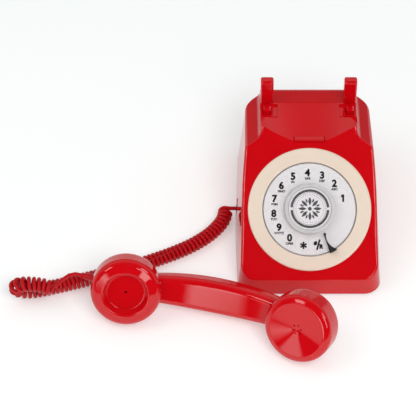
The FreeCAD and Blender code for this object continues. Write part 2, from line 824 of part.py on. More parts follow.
def half_turns(inside, count):
    """Half circles of a flat spiral, each a little wider than the one before."""
    edges = []
    start = V(inside, 0, 0)
    side = 1
    radius = inside
    for i in range(count):
        radius = radius + SPRING_PITCH / 4
        centre = start - V(side * radius, 0, 0)
        end = centre - V(side * radius, 0, 0)
        edges.append(Part.Arc(start, centre + V(0, side * radius, 0), end).toShape())
        start = end
        side = -side
    return edges, start


def return_spring():
    """Flat spiral spring round the bush, its ends hooked to the frame and the shaft works."""
    inner, inner_end = half_turns(SPRING_INSIDE, 2 * SPRING_TURNS)
    outer, outer_end = half_turns(SPRING_INSIDE + SPRING_THICK, 2 * SPRING_TURNS)
    start_in = V(SPRING_INSIDE, 0, 0)
    start_out = V(SPRING_INSIDE + SPRING_THICK, 0, 0)
    edges = [Part.LineSegment(start_out, start_in).toShape()] + inner
    edges.append(Part.LineSegment(inner_end, outer_end).toShape())
    edges.extend(reversed(outer))
    band = Part.Face(Part.Wire(Part.__sortEdges__(edges))).extrude(V(0, 0, SPRING_HEIGHT))
    band.translate(V(0, 0, SPRING_Z))
    tail = block(inner_end.x, outer_end.x, -0.4, 0.4, SPRING_Z, FRAME_FOOT)
    if inner_end.x > outer_end.x:
        tail = block(outer_end.x, inner_end.x, -0.4, 0.4, SPRING_Z, FRAME_FOOT)
    return fused([band, tail])


def pulse_contacts():
    """Insulated stack of three contact leaves beside the drive gear."""
    x = -DRIVE_RADIUS - 6
    stack = block(x - 6, x, -8, 0, -20, FRAME_FOOT)
    leaves = [block(x - 5 + 2 * i, x - 4.6 + 2 * i, -0.5, 16, -17 - i, -11 - i) for i in range(3)]
    return fused([stack] + leaves)


# Hook switch works

PLUNGER_TOP_Z = SADDLE_Z + PLUNGER_RISE


def plunger(side):
    """Plunger that the resting handset presses down."""
    half_w = PLUNGER_WIDTH / 2
    half_d = PLUNGER_DEPTH / 2
    x = side * PLUNGER_X
    post = block(x - half_w, x + half_w, PLUNGER_Y - half_d, PLUNGER_Y + half_d,
                 HOOK_BAR_Z + HOOK_BAR_THICK, PLUNGER_TOP_Z)
    top = [e for e in post.Edges if e.BoundBox.ZMin > PLUNGER_TOP_Z - 0.01]
    return post.makeChamfer(1.4, top)


def hook_bar():
    """Bar that joins the two plungers."""
    half = PLUNGER_X + PLUNGER_WIDTH / 2
    return block(-half, half, PLUNGER_Y - HOOK_BAR_DEPTH / 2, PLUNGER_Y + HOOK_BAR_DEPTH / 2,
                 HOOK_BAR_Z, HOOK_BAR_Z + HOOK_BAR_THICK)


def switch_shelf():
    """Steel shelf under the bar, hung on the roof's pillars."""
    half = SHELF_LENGTH / 2
    return block(-half, half, SHELF_FRONT_Y, SHELF_REAR_Y, SWITCH_SHELF_Z - SHELF_THICK, SWITCH_SHELF_Z)


def hook_switch():
    """Switch on the shelf with a small button on top."""
    top = HOOK_BAR_Z - HOOK_TRAVEL - 0.5
    body = block(-10, 10, PLUNGER_Y - 3.2, PLUNGER_Y + 3.2, SWITCH_SHELF_Z, top - 1.5)
    button = block(-2, 2, PLUNGER_Y - 1.5, PLUNGER_Y + 1.5, top - 1.5, top)
    return fused([body, button])


def hook_springs():
    """Two springs that lift the bar, drawn as plain sleeves."""
    sleeves = []
    for s in (-1, 1):
        outer = rod(HOOK_SPRING_RADIUS, s * HOOK_SPRING_X, PLUNGER_Y, SWITCH_SHELF_Z, HOOK_BAR_Z)
        inner = rod(HOOK_SPRING_RADIUS - HOOK_SPRING_WALL, s * HOOK_SPRING_X, PLUNGER_Y,
                    SWITCH_SHELF_Z - 1, HOOK_BAR_Z + 1)
        sleeves.append(outer.cut(inner))
    return Part.makeCompound([s.Solids[0] for s in sleeves])


def press_bar():
    """Press bar in the deck's slot, kept in by a flange under the roof."""
    half_l = BAR_LENGTH / 2
    half_d = BAR_DEPTH / 2
    top = deck_z(BAR_Y) + BAR_RISE
    foot = POCKET_Z - 0.3
    cap = block(-half_l, half_l, BAR_Y - half_d, BAR_Y + half_d, foot, top)
    upper = [e for e in cap.Edges if e.BoundBox.ZMin > top - 0.01]
    cap = cap.makeFillet(0.8, upper)
    out = BAR_FLANGE
    flange = block(-half_l - out, half_l + out, BAR_Y - half_d, BAR_Y + half_d + out, foot - BAR_FLANGE_THICK, foot)
    return fused([cap, flange])


# Base plate and what stands on it


def foot_places():
    """The four rubber feet."""
    return [(s * FOOT_X, y) for y in (FOOT_FRONT_Y, FOOT_REAR_Y) for s in (-1, 1)]


def board_posts():
    """Posts under the corners of the circuit board."""
    x = BOARD_WIDTH / 2 - 6
    return [(s * x, y) for y in (BOARD_FRONT_Y + 6, BOARD_REAR_Y - 6) for s in (-1, 1)]


def base_plate():
    """Plate that closes the housing from below, with sound slots and board posts."""
    slab = leaning_walls(WALL + PLATE_FIT).common(block(-FAR, FAR, -FAR, FAR, 0, PLATE_TOP_Z))
    posts = [rod(POST_RADIUS, x, y, FOOT_HEIGHT + 1, BOARD_Z) for x, y in board_posts()]
    plate = fused([slab.Solids[0]] + posts)
    cuts = []
    for x, y in screw_places():
        cuts.append(rod(SCREW_RADIUS + 0.2, x, y, 0, PLATE_TOP_Z + 1))
        cuts.append(rod(SCREW_HEAD_RADIUS + 0.3, x, y, 0, FOOT_HEIGHT + SCREW_HEAD))
    for i in range(SLOT_COUNT):
        x = (i - (SLOT_COUNT - 1) / 2) * SLOT_STEP
        cuts.append(block(x - SLOT_WIDTH / 2, x + SLOT_WIDTH / 2, GONG_Y - 42, GONG_Y - 42 + SLOT_LENGTH,
                          0, PLATE_TOP_Z + 1))
    return plate.cut(Part.makeCompound(cuts)).Solids[0]


def base_screws():
    """Four screws up through the plate into the housing's bosses."""
    screws = []
    head_z = FOOT_HEIGHT + SCREW_HEAD
    for x, y in screw_places():
        head = rod(SCREW_HEAD_RADIUS, x, y, FOOT_HEIGHT + 0.2, head_z)
        shank = rod(SCREW_RADIUS, x, y, FOOT_HEIGHT + 0.5, head_z + SCREW_LENGTH)
        screws.append(fused([head, shank]))
    return Part.makeCompound(screws)


def rubber_feet():
    """Four feet under the plate."""
    feet = []
    for x, y in foot_places():
        feet.append(Part.makeCone(FOOT_RADIUS - 0.6, FOOT_RADIUS, FOOT_HEIGHT, V(x, y, 0)))
    return Part.makeCompound(feet)


def circuit_board():
    """Board on the plate's posts with its larger parts."""
    half = BOARD_WIDTH / 2
    top = BOARD_Z + BOARD_THICK
    slab = block(-half, half, BOARD_FRONT_Y, BOARD_REAR_Y, BOARD_Z, top)
    chips = [
        block(-20, -6, 72, 92, top, top + 3),
        block(8, 20, 66, 80, top, top + 5),
        rod(5, 32, 94, top, top + 12),
    ]
    return fused([slab] + chips)


def bell_frame():
    """Steel plate on the base plate with posts for the gongs, the coil's yoke and the clapper's pin."""
    low = PLATE_TOP_Z
    top = low + BELL_PLATE_THICK
    plate = block(-GONG_X - 6, GONG_X + 6, COIL_Y + 4, GONG_Y + 6, low, top)
    posts = [rod(GONG_POST_RADIUS, s * GONG_X, GONG_Y, low, GONG_Z) for s in (-1, 1)]
    pin = rod(PIVOT_RADIUS, 0, CLAPPER_Y, low, GONG_Z + 2)
    yoke = block(-6, 6, COIL_Y + 4, COIL_Y + 6, low, GONG_Z + COIL_RADIUS - 8)
    return fused([plate, yoke, pin] + posts)


def gong(side):
    """Bell gong on its post."""
    base = GONG_Z
    bell = turned([
        (0, base),
        (GONG_RADIUS * 0.55, base),
        (GONG_RADIUS, base - GONG_HEIGHT + 5),
        (GONG_RADIUS, base - GONG_HEIGHT),
        (GONG_RADIUS - GONG_WALL, base - GONG_HEIGHT),
        (GONG_RADIUS - GONG_WALL, base - GONG_HEIGHT + 4.6),
        (GONG_RADIUS * 0.55 - 0.5, base - GONG_WALL),
        (0, base - GONG_WALL),
    ], [0, 4, 5, 0, 0, 4, 3, 0])
    bell.translate(V(side * GONG_X, GONG_Y, GONG_WALL))
    return bell


def bell_coil():
    """Coil on the yoke."""
    z = GONG_Z - 8
    return Part.makeCylinder(COIL_RADIUS, COIL_LENGTH, V(0, COIL_Y + 4 - COIL_LENGTH, z), V(0, 1, 0))


def clapper():
    """Swinging arm with its ball between the two gongs."""
    z = GONG_Z - 8
    collar = rod(4, 0, CLAPPER_Y, z - 2, z + 2).cut(rod(PIVOT_RADIUS + PIVOT_FIT, 0, CLAPPER_Y, z - 3, z + 3))
    arm = block(-1, 1, CLAPPER_Y + 3.2, CLAPPER_Y + CLAPPER_LENGTH, z - 1, z + 1)
    ball = Part.makeSphere(CLAPPER_BALL, V(0, CLAPPER_Y + CLAPPER_LENGTH, z))
    return fused([collar, arm, ball])


def clapper_seat():
    """Collar on the clapper's pin that carries the arm."""
    z = GONG_Z - 10
    return rod(3.2, 0, CLAPPER_Y, PLATE_TOP_Z + BELL_PLATE_THICK, z).cut(
        rod(PIVOT_RADIUS + 0.02, 0, CLAPPER_Y, 0, z + 1))


def handset_socket():
    """Socket in the left wall that takes the cord's plug."""
    y = HANDSET_SOCKET_Y
    half = SOCKET_WIDTH / 2
    face = SOCKET_FACE_X
    body = block(face, face + SOCKET_DEPTH, y - half, y + half, PLATE_TOP_Z, SOCKET_TOP_Z)
    half_w = PLUG_WIDTH / 2 + PLUG_FIT
    opening = block(face - 1, face + PLUG_LENGTH + 0.4, y - half_w, y + half_w,
                    SOCKET_MID_Z - PLUG_HEIGHT / 2, SOCKET_MID_Z + PLUG_HEIGHT / 2 + PLUG_FIT)
    return body.cut(opening).Solids[0]


SOCKET_FACE_X = -HALF_WIDTH + SOCKET_SINK


def cord_plug():
    """Plug on the cord, home in its socket."""
    y = HANDSET_SOCKET_Y
    face = SOCKET_FACE_X
    plug = block(face, face + PLUG_LENGTH, y - PLUG_WIDTH / 2, y + PLUG_WIDTH / 2,
                 SOCKET_MID_Z - PLUG_HEIGHT / 2, SOCKET_MID_Z + PLUG_HEIGHT / 2)
    return plug


def line_socket():
    """Line socket in the rear wall, left empty."""
    x = LINE_SOCKET_X
    half = SOCKET_WIDTH / 2
    face = BASE_DEPTH - SOCKET_SINK
    body = block(x - half, x + half, face - SOCKET_DEPTH, face, PLATE_TOP_Z, SOCKET_TOP_Z)
    half_w = LINE_OPENING_WIDTH / 2
    half_h = LINE_OPENING_HEIGHT / 2
    opening = block(x - half_w, x + half_w, face - LINE_OPENING_DEPTH, face + 1,
                    SOCKET_MID_Z - half_h, SOCKET_MID_Z + half_h)
    return body.cut(opening).Solids[0]


# Handset


def on_head(shape, side):
    """Stand a piece drawn about Z on one head, the left being the mouthpiece."""
    place = FreeCAD.Placement(V(side * CAP_SPACING / 2, 0, 0), FreeCAD.Rotation(V(0, 1, 0), -side * CAP_TOE))
    return shape.transformed(place.toMatrix(), True)


def mouthpiece_cap():
    """Screwed cap with a raised lip round a deep cup and one speech hole."""
    inside = CAP_RADIUS - CAP_WALL
    shelf = -RECESS_DEPTH - CAP_WALL
    profile = [
        (0, shelf),
        (inside, shelf),
        (inside, -CAP_HEIGHT),
        (CAP_RADIUS, -CAP_HEIGHT),
        (CAP_RADIUS, -3.4),
        (LIP_RADIUS, 0.6),
        (RECESS_RADIUS, -RECESS_DEPTH),
        (0, -RECESS_DEPTH),
    ]
    cap = turned(profile, [0, 1.0, 0, 1.0, 7.5, 1.8, 1.5, 0])
    return cap.cut(rod(SPEECH_HOLE, 0, 0, -20, 5)).Solids[0]


def earpiece_cap():
    """Screwed cap with a round rim, a shallow dish and a ring of small holes."""
    inside = CAP_RADIUS - CAP_WALL
    shelf = -EAR_DISH - CAP_WALL
    profile = [
        (0, shelf),
        (inside, shelf - 1.5),
        (inside, -CAP_HEIGHT),
        (CAP_RADIUS, -CAP_HEIGHT),
        (CAP_RADIUS, -2.2),
        (EAR_RIM_RADIUS, 0.5),
        (0, -EAR_DISH),
    ]
    cap = turned(profile, [0, 1.0, 0, 1.0, 6.0, 4.0, 0])
    holes = [rod(EAR_HOLE, *list(around(EAR_HOLE_CIRCLE, 15 + 360.0 / EAR_HOLES * i))[:2], -20, 5)
             for i in range(EAR_HOLES)]
    return cap.cut(Part.makeCompound(holes)).Solids[0]


CUP_RADIUS = CAP_RADIUS - CUP_STEP
SPIGOT_RADIUS = CAP_RADIUS - CAP_WALL - CAP_FIT
CUP_TOP = -CAP_HEIGHT
SPIGOT_TOP = -RECESS_DEPTH - CAP_WALL - CAP_FIT
CUP_FOOT = CUP_TOP - CUP_DEPTH
CUP_FLOOR = CUP_FOOT + CUP_WALL
GROMMET_SEAT_X = -CAP_SPACING / 2 - CUP_RADIUS


def head_cup():
    """Outside of one head with the spigot that takes its cap."""
    profile = [
        (0, CUP_FOOT),
        (CUP_RADIUS, CUP_FOOT),
        (CUP_RADIUS, CUP_TOP),
        (SPIGOT_RADIUS, CUP_TOP),
        (SPIGOT_RADIUS, SPIGOT_TOP),
        (0, SPIGOT_TOP),
    ]
    return turned(profile, [0, CUP_ROUND, 0.8, 0, 0.8, 0])


def head_hollow():
    """Space in one head for its capsule, and round the spigot for its cap."""
    hollow = rod(SPIGOT_RADIUS - SPIGOT_WALL, 0, 0, CUP_FLOOR, SPIGOT_TOP + 1)
    ring = rod(CAP_RADIUS + 4, 0, 0, CUP_TOP, 20).cut(rod(SPIGOT_RADIUS, 0, 0, CUP_TOP - 1, 21))
    return [hollow, ring]


def handle_section(x):
    """Rounded section of the handle, square to its bowed middle line."""
    half = HANDLE_END_X
    bow = HANDLE_MID_DEPTH - HANDLE_END_DEPTH
    radius = (half * half + bow * bow) / (2 * bow)
    angle = math.asin(x / radius)
    centre = V(x, 0, -HANDLE_MID_DEPTH + radius * (1 - math.cos(angle)))
    share = 1 - (x / half) ** 2
    half_w = (HANDLE_END_WIDTH + (HANDLE_MID_WIDTH - HANDLE_END_WIDTH) * share) / 2
    half_t = (HANDLE_END_THICK + (HANDLE_MID_THICK - HANDLE_END_THICK) * share) / 2
    up = V(-math.sin(angle), 0, math.cos(angle))
    wide = V(0, 1, 0)
    corners = [centre + wide * (a * half_w) + up * (b * half_t) for a, b in ((-1, -1), (1, -1), (1, 1), (-1, 1))]
    return rounded_wire(corners, [HANDLE_ROUND + 1.5, HANDLE_ROUND + 1.5, HANDLE_ROUND, HANDLE_ROUND])


def grommet_bore():
    """Blind bore in the mouthpiece head's outer end for the cord's grommet."""
    return Part.makeCylinder(GROMMET_RADIUS + GROMMET_FIT, FAR, V(GROMMET_SEAT_X, 0, -GROMMET_DEPTH), V(-1, 0, 0))


def handset_handle():
    """Bowed handle moulded in one with the cups of both heads."""
    stations = [HANDLE_END_X * k for k in (-1, -0.5, 0, 0.5, 1)]
    bar = Part.makeLoft([handle_section(x) for x in stations], True, False)
    cups = [on_head(head_cup(), s) for s in (-1, 1)]
    body = fused([bar] + cups)
    cuts = [on_head(c, s) for s in (-1, 1) for c in head_hollow()]
    cuts.append(grommet_bore())
    return body.cut(Part.makeCompound(cuts)).Solids[0]


def capsule():
    """Round capsule that stands on the floor of a head."""
    return turned([
        (0, CUP_FLOOR),
        (CAPSULE_RADIUS, CUP_FLOOR),
        (CAPSULE_RADIUS, CUP_FLOOR + CAPSULE_HEIGHT),
        (CAPSULE_STEP, CUP_FLOOR + CAPSULE_HEIGHT),
        (CAPSULE_STEP, CUP_FLOOR + CAPSULE_HEIGHT + CAPSULE_FACE),
        (0, CUP_FLOOR + CAPSULE_HEIGHT + CAPSULE_FACE),
    ], [0, 0, 1, 0, 1, 0])


def cord_grommet():
    """Tapered sleeve that keeps the cord from kinking at the handset."""
    seat = V(GROMMET_SEAT_X, 0, -GROMMET_DEPTH)
    out = V(-1, 0, 0)
    neck = Part.makeCylinder(GROMMET_RADIUS, GROMMET_NECK, seat, out)
    taper = Part.makeCone(GROMMET_RADIUS, GROMMET_TIP_RADIUS, GROMMET_LENGTH, seat + out * GROMMET_NECK, out)
    return fused([neck, taper])


def grommet_tip():
    """Middle of the grommet's outer face, and the way that the cord enters it."""
    return V(GROMMET_SEAT_X - GROMMET_NECK - GROMMET_LENGTH, 0, -GROMMET_DEPTH), V(1, 0, 0)


# Curly cord

COIL_RADIUS_MEAN = (COIL_OUTSIDE - WIRE) / 2


def biarc(p0, t0, p1, t1):
    """Two arcs that leave one point and reach another along given ways."""
    chord = p1 - p0
    both = t0 + t1
    slack = 2 * (1 - t0.dot(t1))
    lean = chord.dot(both)
    if slack < 1e-9:
        reach = chord.dot(chord) / (4 * chord.dot(t1))
    else:
        reach = (-lean + math.sqrt(lean * lean + slack * chord.dot(chord))) / slack
    joint = (p0 + p1 + (t0 - t1) * reach) * 0.5
    return [arc_between(p0, p0 + t0 * reach, joint), arc_between(joint, p1 - t1 * reach, p1)]


def arc_between(start, corner, end):
    """Arc that touches the lines from a corner to two points at equal distance from it."""
    half_chord = (end - start).Length / 2
    weight = half_chord / (corner - start).Length
    middle = (start + end + corner * (2 * weight)) * (1 / (2 + 2 * weight))
    return Part.Arc(start, middle, end).toShape()


def coil_stations():
    """Close points of the coil's helix, each with its angle of turn.

    The turns open where the route bends, so that the insides of the turns stay apart.
    """
    curve = Part.BSplineCurve()
    curve.interpolate([V(*p) for p in CORD_ROUTE])
    steps = 4000
    first, last = curve.FirstParameter, curve.LastParameter
    params = [first + (last - first) * i / steps for i in range(steps + 1)]
    points = [curve.value(t) for t in params]
    ways = [V(*curve.tangent(t)[0]) for t in params]
    bends = [curve.curvature(t) for t in params]
    normal = ways[0].cross(V(0, 0, 1)).normalize()
    turn = 0.0
    helix = []
    for i in range(steps + 1):
        normal = (normal - ways[i] * normal.dot(ways[i])).normalize()
        across = ways[i].cross(normal)
        if i > 0:
            advance = (points[i] - points[i - 1]).Length
            pitch = (WIRE + COIL_GAP) / (1 - COIL_RADIUS_MEAN * bends[i])
            turn += 2 * math.pi * advance / pitch
        arm = normal * math.cos(turn) + across * math.sin(turn)
        helix.append((turn, points[i] + arm * COIL_RADIUS_MEAN))
    return helix


def helix_point(helix, turn, guess):
    """Point of the helix at a turn angle, found from a starting index."""
    i = guess
    while helix[i + 1][0] < turn:
        i += 1
    t0, p0 = helix[i]
    t1, p1 = helix[i + 1]
    share = (turn - t0) / (t1 - t0)
    return p0 + (p1 - p0) * share, i


def coil_path():
    """Arcs of the coil, with the point and way at both of its ends."""
    helix = coil_stations()
    first = math.radians(COIL_START_ANGLE)
    whole_turns = math.floor(helix[-1][0] / (2 * math.pi)) - 1
    last = 2 * math.pi * whole_turns + math.radians(COIL_END_ANGLE)
    halves = int(round((last - first) / math.pi))
    step = (last - first) / halves
    small = 0.02
    knots = []
    index = 0
    for k in range(halves + 1):
        angle = first + k * step
        before, index = helix_point(helix, angle - small, index)
        here = helix_point(helix, angle, index)[0]
        after = helix_point(helix, angle + small, index)[0]
        knots.append((here, (after - before).normalize()))
    edges = []
    for k in range(halves):
        edges.extend(biarc(*knots[k], *knots[k + 1]))
    return edges, knots[0], knots[halves], (last - first) / (2 * math.pi)


def cord_ends():
    """Where the cord meets its plug and the handset's grommet, with its ways there."""
    face = V(SOCKET_FACE_X, HANDSET_SOCKET_Y, SOCKET_MID_Z)
    tip, way = grommet_tip()
    matrix = handset_placement().toMatrix()
    turn = handset_placement().Rotation
    return face, V(-1, 0, 0), matrix.multVec(tip), turn.multVec(way)


def cord_path():
    """Whole middle line of the cord: lead, coil and lead, as straights and arcs."""
    coil, start, end, turns = coil_path()
    face, out_way, tip, in_way = cord_ends()
    run_out = face + out_way * LEAD_STRAIGHT
    run_in = tip - in_way * LEAD_STRAIGHT
    edges = [Part.LineSegment(face, run_out).toShape()]
    edges.extend(biarc(run_out, out_way, *start))
    edges.extend(coil)
    edges.extend(biarc(*end, run_in, in_way))
    edges.append(Part.LineSegment(run_in, tip).toShape())
    return edges, turns


def curly_cord():
    """The cord as one tube with flat sides, and the figures that show it keeps clear of itself."""
    edges, turns = cord_path()
    path = Part.Wire(edges)
    face, way = cord_ends()[:2]
    corner = WIRE / 2
    points = []
    for i in range(WIRE_SIDES):
        a = 2 * math.pi * i / WIRE_SIDES
        points.append(face + V(0, math.cos(a), math.sin(a)) * corner)
    profile = Part.makePolygon(points + [points[0]])
    sweep = Part.BRepOffsetAPI.MakePipeShell(path)
    sweep.add(profile)
    sweep.build()
    sweep.makeSolid()
    tube = sweep.shape()
    section = WIRE_SIDES / 2 * corner * corner * math.sin(2 * math.pi / WIRE_SIDES)
    radii = [e.Curve.Radius for e in edges if hasattr(e.Curve, "Radius")]
    print("cord: turns %.2f, length %.1f mm, volume over section times length %.4f"
          % (turns, path.Length, tube.Volume / (section * path.Length)))
    print("cord: lead radii %s mm, coil radii %.2f to %.2f mm"
          % (["%.1f" % r for r in radii[:2] + radii[-2:]], min(radii[2:-2]), max(radii[2:-2])))
    print("cord: least gap to itself %.2f mm" % (least_gap(edges) - 2 * corner))
    return Part.Solid(tube) if tube.ShapeType == "Shell" else tube


def least_gap(edges):
    """Least distance between two stretches of the middle line that aren't next to each other."""
    points = []
    along = [0.0]
    for edge in edges:
        for p in edge_points(edge)[:-1]:
            if points:
                along.append(along[-1] + (p - points[-1]).Length)
            points.append(p)
    apart = 2 * math.pi * COIL_RADIUS_MEAN * 0.6
    least = FAR
    cells = {}
    size = 8.0
    for i, p in enumerate(points):
        cell = (int(p.x // size), int(p.y // size), int(p.z // size))
        for dx in (-1, 0, 1):
            for dy in (-1, 0, 1):
                for dz in (-1, 0, 1):
                    for j in cells.get((cell[0] + dx, cell[1] + dy, cell[2] + dz), []):
                        if along[i] - along[j] > apart:
                            least = min(least, (p - points[j]).Length)
        cells.setdefault(cell, []).append(i)
    return least


# Assembly


def base_pieces():
    """Pieces drawn in the base's own frame."""
    return {
        "housing": housing(),
        "plunger_left": plunger(-1),
        "plunger_right": plunger(1),
        "hook_bar": hook_bar(),
        "hook_springs": hook_springs(),
        "switch_shelf": switch_shelf(),
        "hook_switch": hook_switch(),
        "press_bar": press_bar(),
        "base_plate": base_plate(),
        "base_screws": base_screws(),
        "rubber_feet": rubber_feet(),
        "circuit_board": circuit_board(),
        "bell_frame": bell_frame(),
        "gong_left": gong(-1),
        "gong_right": gong(1),
        "bell_coil": bell_coil(),
        "clapper": clapper(),
        "clapper_seat": clapper_seat(),
        "handset_socket": handset_socket(),
        "cord_plug": cord_plug(),
        "line_socket": line_socket(),
    }


def dial_pieces():
    """Pieces drawn in the dial's own frame."""
    return {
        "dial_bezel": dial_bezel(),
        "number_plate": number_plate(),
        "finger_wheel": finger_wheel(),
        "wheel_boss": wheel_boss(),
        "hub_ring": hub_ring(),
        "label_card": label_card(),
        "label_cover": label_cover(),
        "finger_stop": finger_stop(),
        "dial_shaft": dial_shaft(),
        "dial_frame": dial_frame(),
        "drive_gear": drive_gear(),
        "governor": governor(),
        "governor_bracket": governor_bracket(),
        "return_spring": return_spring(),
        "pulse_contacts": pulse_contacts(),
    }


def handset_pieces():
    """Pieces drawn in the handset's own frame."""
    return {
        "handset_handle": handset_handle(),
        "mouthpiece_cap": on_head(mouthpiece_cap(), -1),
        "earpiece_cap": on_head(earpiece_cap(), 1),
        "microphone_capsule": on_head(capsule(), -1),
        "receiver_capsule": on_head(capsule(), 1),
        "cord_grommet": cord_grommet(),
    }


HANDSET_REST = []


def handset_placement():
    """Placement of the handset on the table, its lowest point touching it."""
    turn = FreeCAD.Rotation(V(0, 0, 1), -HANDSET_YAW).multiply(FreeCAD.Rotation(V(1, 0, 0), 90 - HANDSET_LEAN))
    if not HANDSET_REST:
        loose = FreeCAD.Placement(V(0, 0, 0), turn).toMatrix()
        shapes = [handset_handle(), on_head(mouthpiece_cap(), -1), on_head(earpiece_cap(), 1)]
        HANDSET_REST.append(-min(s.transformed(loose, True).optimalBoundingBox(False, False).ZMin for s in shapes))
    return FreeCAD.Placement(V(HANDSET_X, HANDSET_Y, HANDSET_REST[0]), turn)


def main():
    """Build every piece in place and write one file for each."""
    os.makedirs("parts", exist_ok=True)
    pieces = {}
    for name, shape in base_pieces().items():
        pieces[name] = shape
    for name, shape in dial_pieces().items():
        pieces[name] = on_dial(shape)
    rest = handset_placement().toMatrix()
    for name, shape in handset_pieces().items():
        pieces[name] = shape.transformed(rest, True)
    pieces["curly_cord"] = curly_cord()
    for name, shape in pieces.items():
        shape.translate(V(BASE_X, BASE_Y, 0))
        shape.exportStep("parts/%s.step" % name)
    print("pieces: %d" % len(pieces))
    print("handset rests at %.2f mm" % HANDSET_REST[0])


main()
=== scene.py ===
"""Looks of a red rotary desk telephone: materials, dial print, label, curly cord, light and camera.

Lengths are metres. The dial's own frame has its origin in the middle of the dial on the slope,
x to the right as the dial is read, y up the slope and z square out of it.
"""
import bpy
import bmesh
import json
import math
from collections import namedtuple
from mathutils import Matrix, Vector


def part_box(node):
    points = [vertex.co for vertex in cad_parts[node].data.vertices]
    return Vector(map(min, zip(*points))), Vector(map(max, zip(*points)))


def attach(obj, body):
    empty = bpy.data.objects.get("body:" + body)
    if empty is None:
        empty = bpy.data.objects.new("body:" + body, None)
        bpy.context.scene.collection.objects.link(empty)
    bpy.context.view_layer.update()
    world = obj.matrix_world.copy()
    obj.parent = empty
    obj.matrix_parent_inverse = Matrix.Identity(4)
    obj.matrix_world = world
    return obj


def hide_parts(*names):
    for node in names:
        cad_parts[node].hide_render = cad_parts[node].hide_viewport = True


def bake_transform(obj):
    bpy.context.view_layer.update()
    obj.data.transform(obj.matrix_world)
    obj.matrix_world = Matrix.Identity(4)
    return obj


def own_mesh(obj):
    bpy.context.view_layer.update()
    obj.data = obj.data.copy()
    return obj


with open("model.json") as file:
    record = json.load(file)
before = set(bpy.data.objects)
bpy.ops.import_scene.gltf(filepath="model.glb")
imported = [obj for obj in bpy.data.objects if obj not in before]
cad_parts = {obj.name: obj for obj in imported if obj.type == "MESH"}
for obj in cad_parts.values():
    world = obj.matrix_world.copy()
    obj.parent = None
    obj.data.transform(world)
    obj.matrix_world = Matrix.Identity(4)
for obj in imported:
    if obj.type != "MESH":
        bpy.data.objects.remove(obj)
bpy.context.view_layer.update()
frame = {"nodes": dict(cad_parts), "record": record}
scene = bpy.context.scene
scene.view_settings.view_transform = "Standard"

MM = 0.001
FULL_TURN = 2 * math.pi
UP = Vector((0, 0, 1))
REARWARD = (0, 1, 0)

# Camera, whose sensor is counted in millimetres
VIEW_ELEVATION = 50.0
VIEW_DISTANCE = 2400 * MM
VIEW_RIGHT_OF_DIAL = -101.5 * MM
VIEW_UP_FROM_DIAL = 1.5 * MM
HALF_FRAME = 208 * MM
SENSOR_WIDTH = 36.0
FARTHEST_SEEN = 20.0

# Room, as matt surfaces see it
ROOM_LEVEL = 0.57

# Room, as glossy surfaces see it, with the range of rearward directions over which its level changes
CAMERA_SIDE_LEVEL = 0.03
REAR_LEVEL = 0.28
LEVEL_CHANGE = (-0.35, 0.45)

# Windows that only glossy surfaces see: direction, half width, half height, soft edge and brightness
WINDOWS = [
    ((0.00, 0.70, 0.71), 1.00, 0.08, 0.30, 0.6),
    ((-0.37, -0.90, 0.24), 0.17, 0.16, 0.08, 4.6),
    ((-0.67, -0.72, 0.19), 0.06, 0.07, 0.02, 2.6),
    ((0.40, -0.74, 0.54), 0.13, 0.20, 0.02, 6.0),
    ((-0.60, -0.36, 0.71), 0.14, 0.12, 0.03, 6.0),
    ((0.60, -0.36, 0.71), 0.14, 0.12, 0.03, 6.0),
]

# Square lamps, each with its name, place and watts, that face one point
LAMPS = [
    ("key", (0.35, -1.05, 1.45), 13),
    ("fill", (-0.9, -0.2, 1.4), 3),
]
LAMP_SIDE = 0.8
LAMP_TARGET = (0.0, 0.0, 0.05)

# Floor
FLOOR_HALF = 4.0
FLOOR_COLOUR = (0.768, 0.800, 0.793, 1)
FLOOR_ROUGHNESS = 0.9
FLOOR_SPECULAR = 0.1
FLOOR_GLOW = 0.285

# Surfaces: scales of noise per metre, the share of the noise over which a tone changes, and fine relief
TONE_SCALE = 14.0
SHEEN_SCALE = 60.0
TONE_CHANGE = (0.3, 0.7)
NOISE_DETAIL = 3.0
RIPPLE_SCALE = 900.0
RIPPLE_STRENGTH = 0.12
RIPPLE_HEIGHT = 0.04 * MM
GRAIN_HEIGHT = 0.02 * MM
CORD_SPECULAR = 0.22

# Silver lacquer
FLAKE_SCALE = 2600.0
FLAKE_DETAIL = 1.0
FLAKE_STRENGTH = 0.2
FLAKE_HEIGHT = 0.03 * MM
LACQUER_SHEEN_SCALE = 700.0
LACQUER_ROUGHNESS = (0.28, 0.42)
LACQUER_METALLIC = 0.12

# Clear plastic
CLEAR_TONES = ((0.90, 0.89, 0.90), (0.95, 0.94, 0.95))
CLEAR_TONE_SCALE = 40.0
CLEAR_SHEEN_SCALE = 200.0
CLEAR_ROUGHNESS = (0.04, 0.09)

# Dial print: its places in turn, and the letters under each number
PLACES = ["one", "2", "3", "4", "5", "6", "7", "8", "9", "0", "star", "hash"]
LETTERS = {
    "2": "ABC",
    "3": "DEF",
    "4": "GHI",
    "5": "JKL",
    "6": "MNO",
    "7": "PQRS",
    "8": "TUV",
    "9": "WXYZ",
    "0": "OPER",
}

# Parts of each sign, with their place to the right and up and their height in millimetres
SIGNS = {
    "one": [("I", 0.8, 0.0, 7.7), ("/", -0.6, 2.3, 3.1)],
    "star": [("*", 0.0, 0.0, 7.4)],
    "hash": [("#", -2.9, 1.4, 4.2), ("/", 0.0, 0.0, 10.6), ("R", 3.0, -1.9, 4.9)],
}

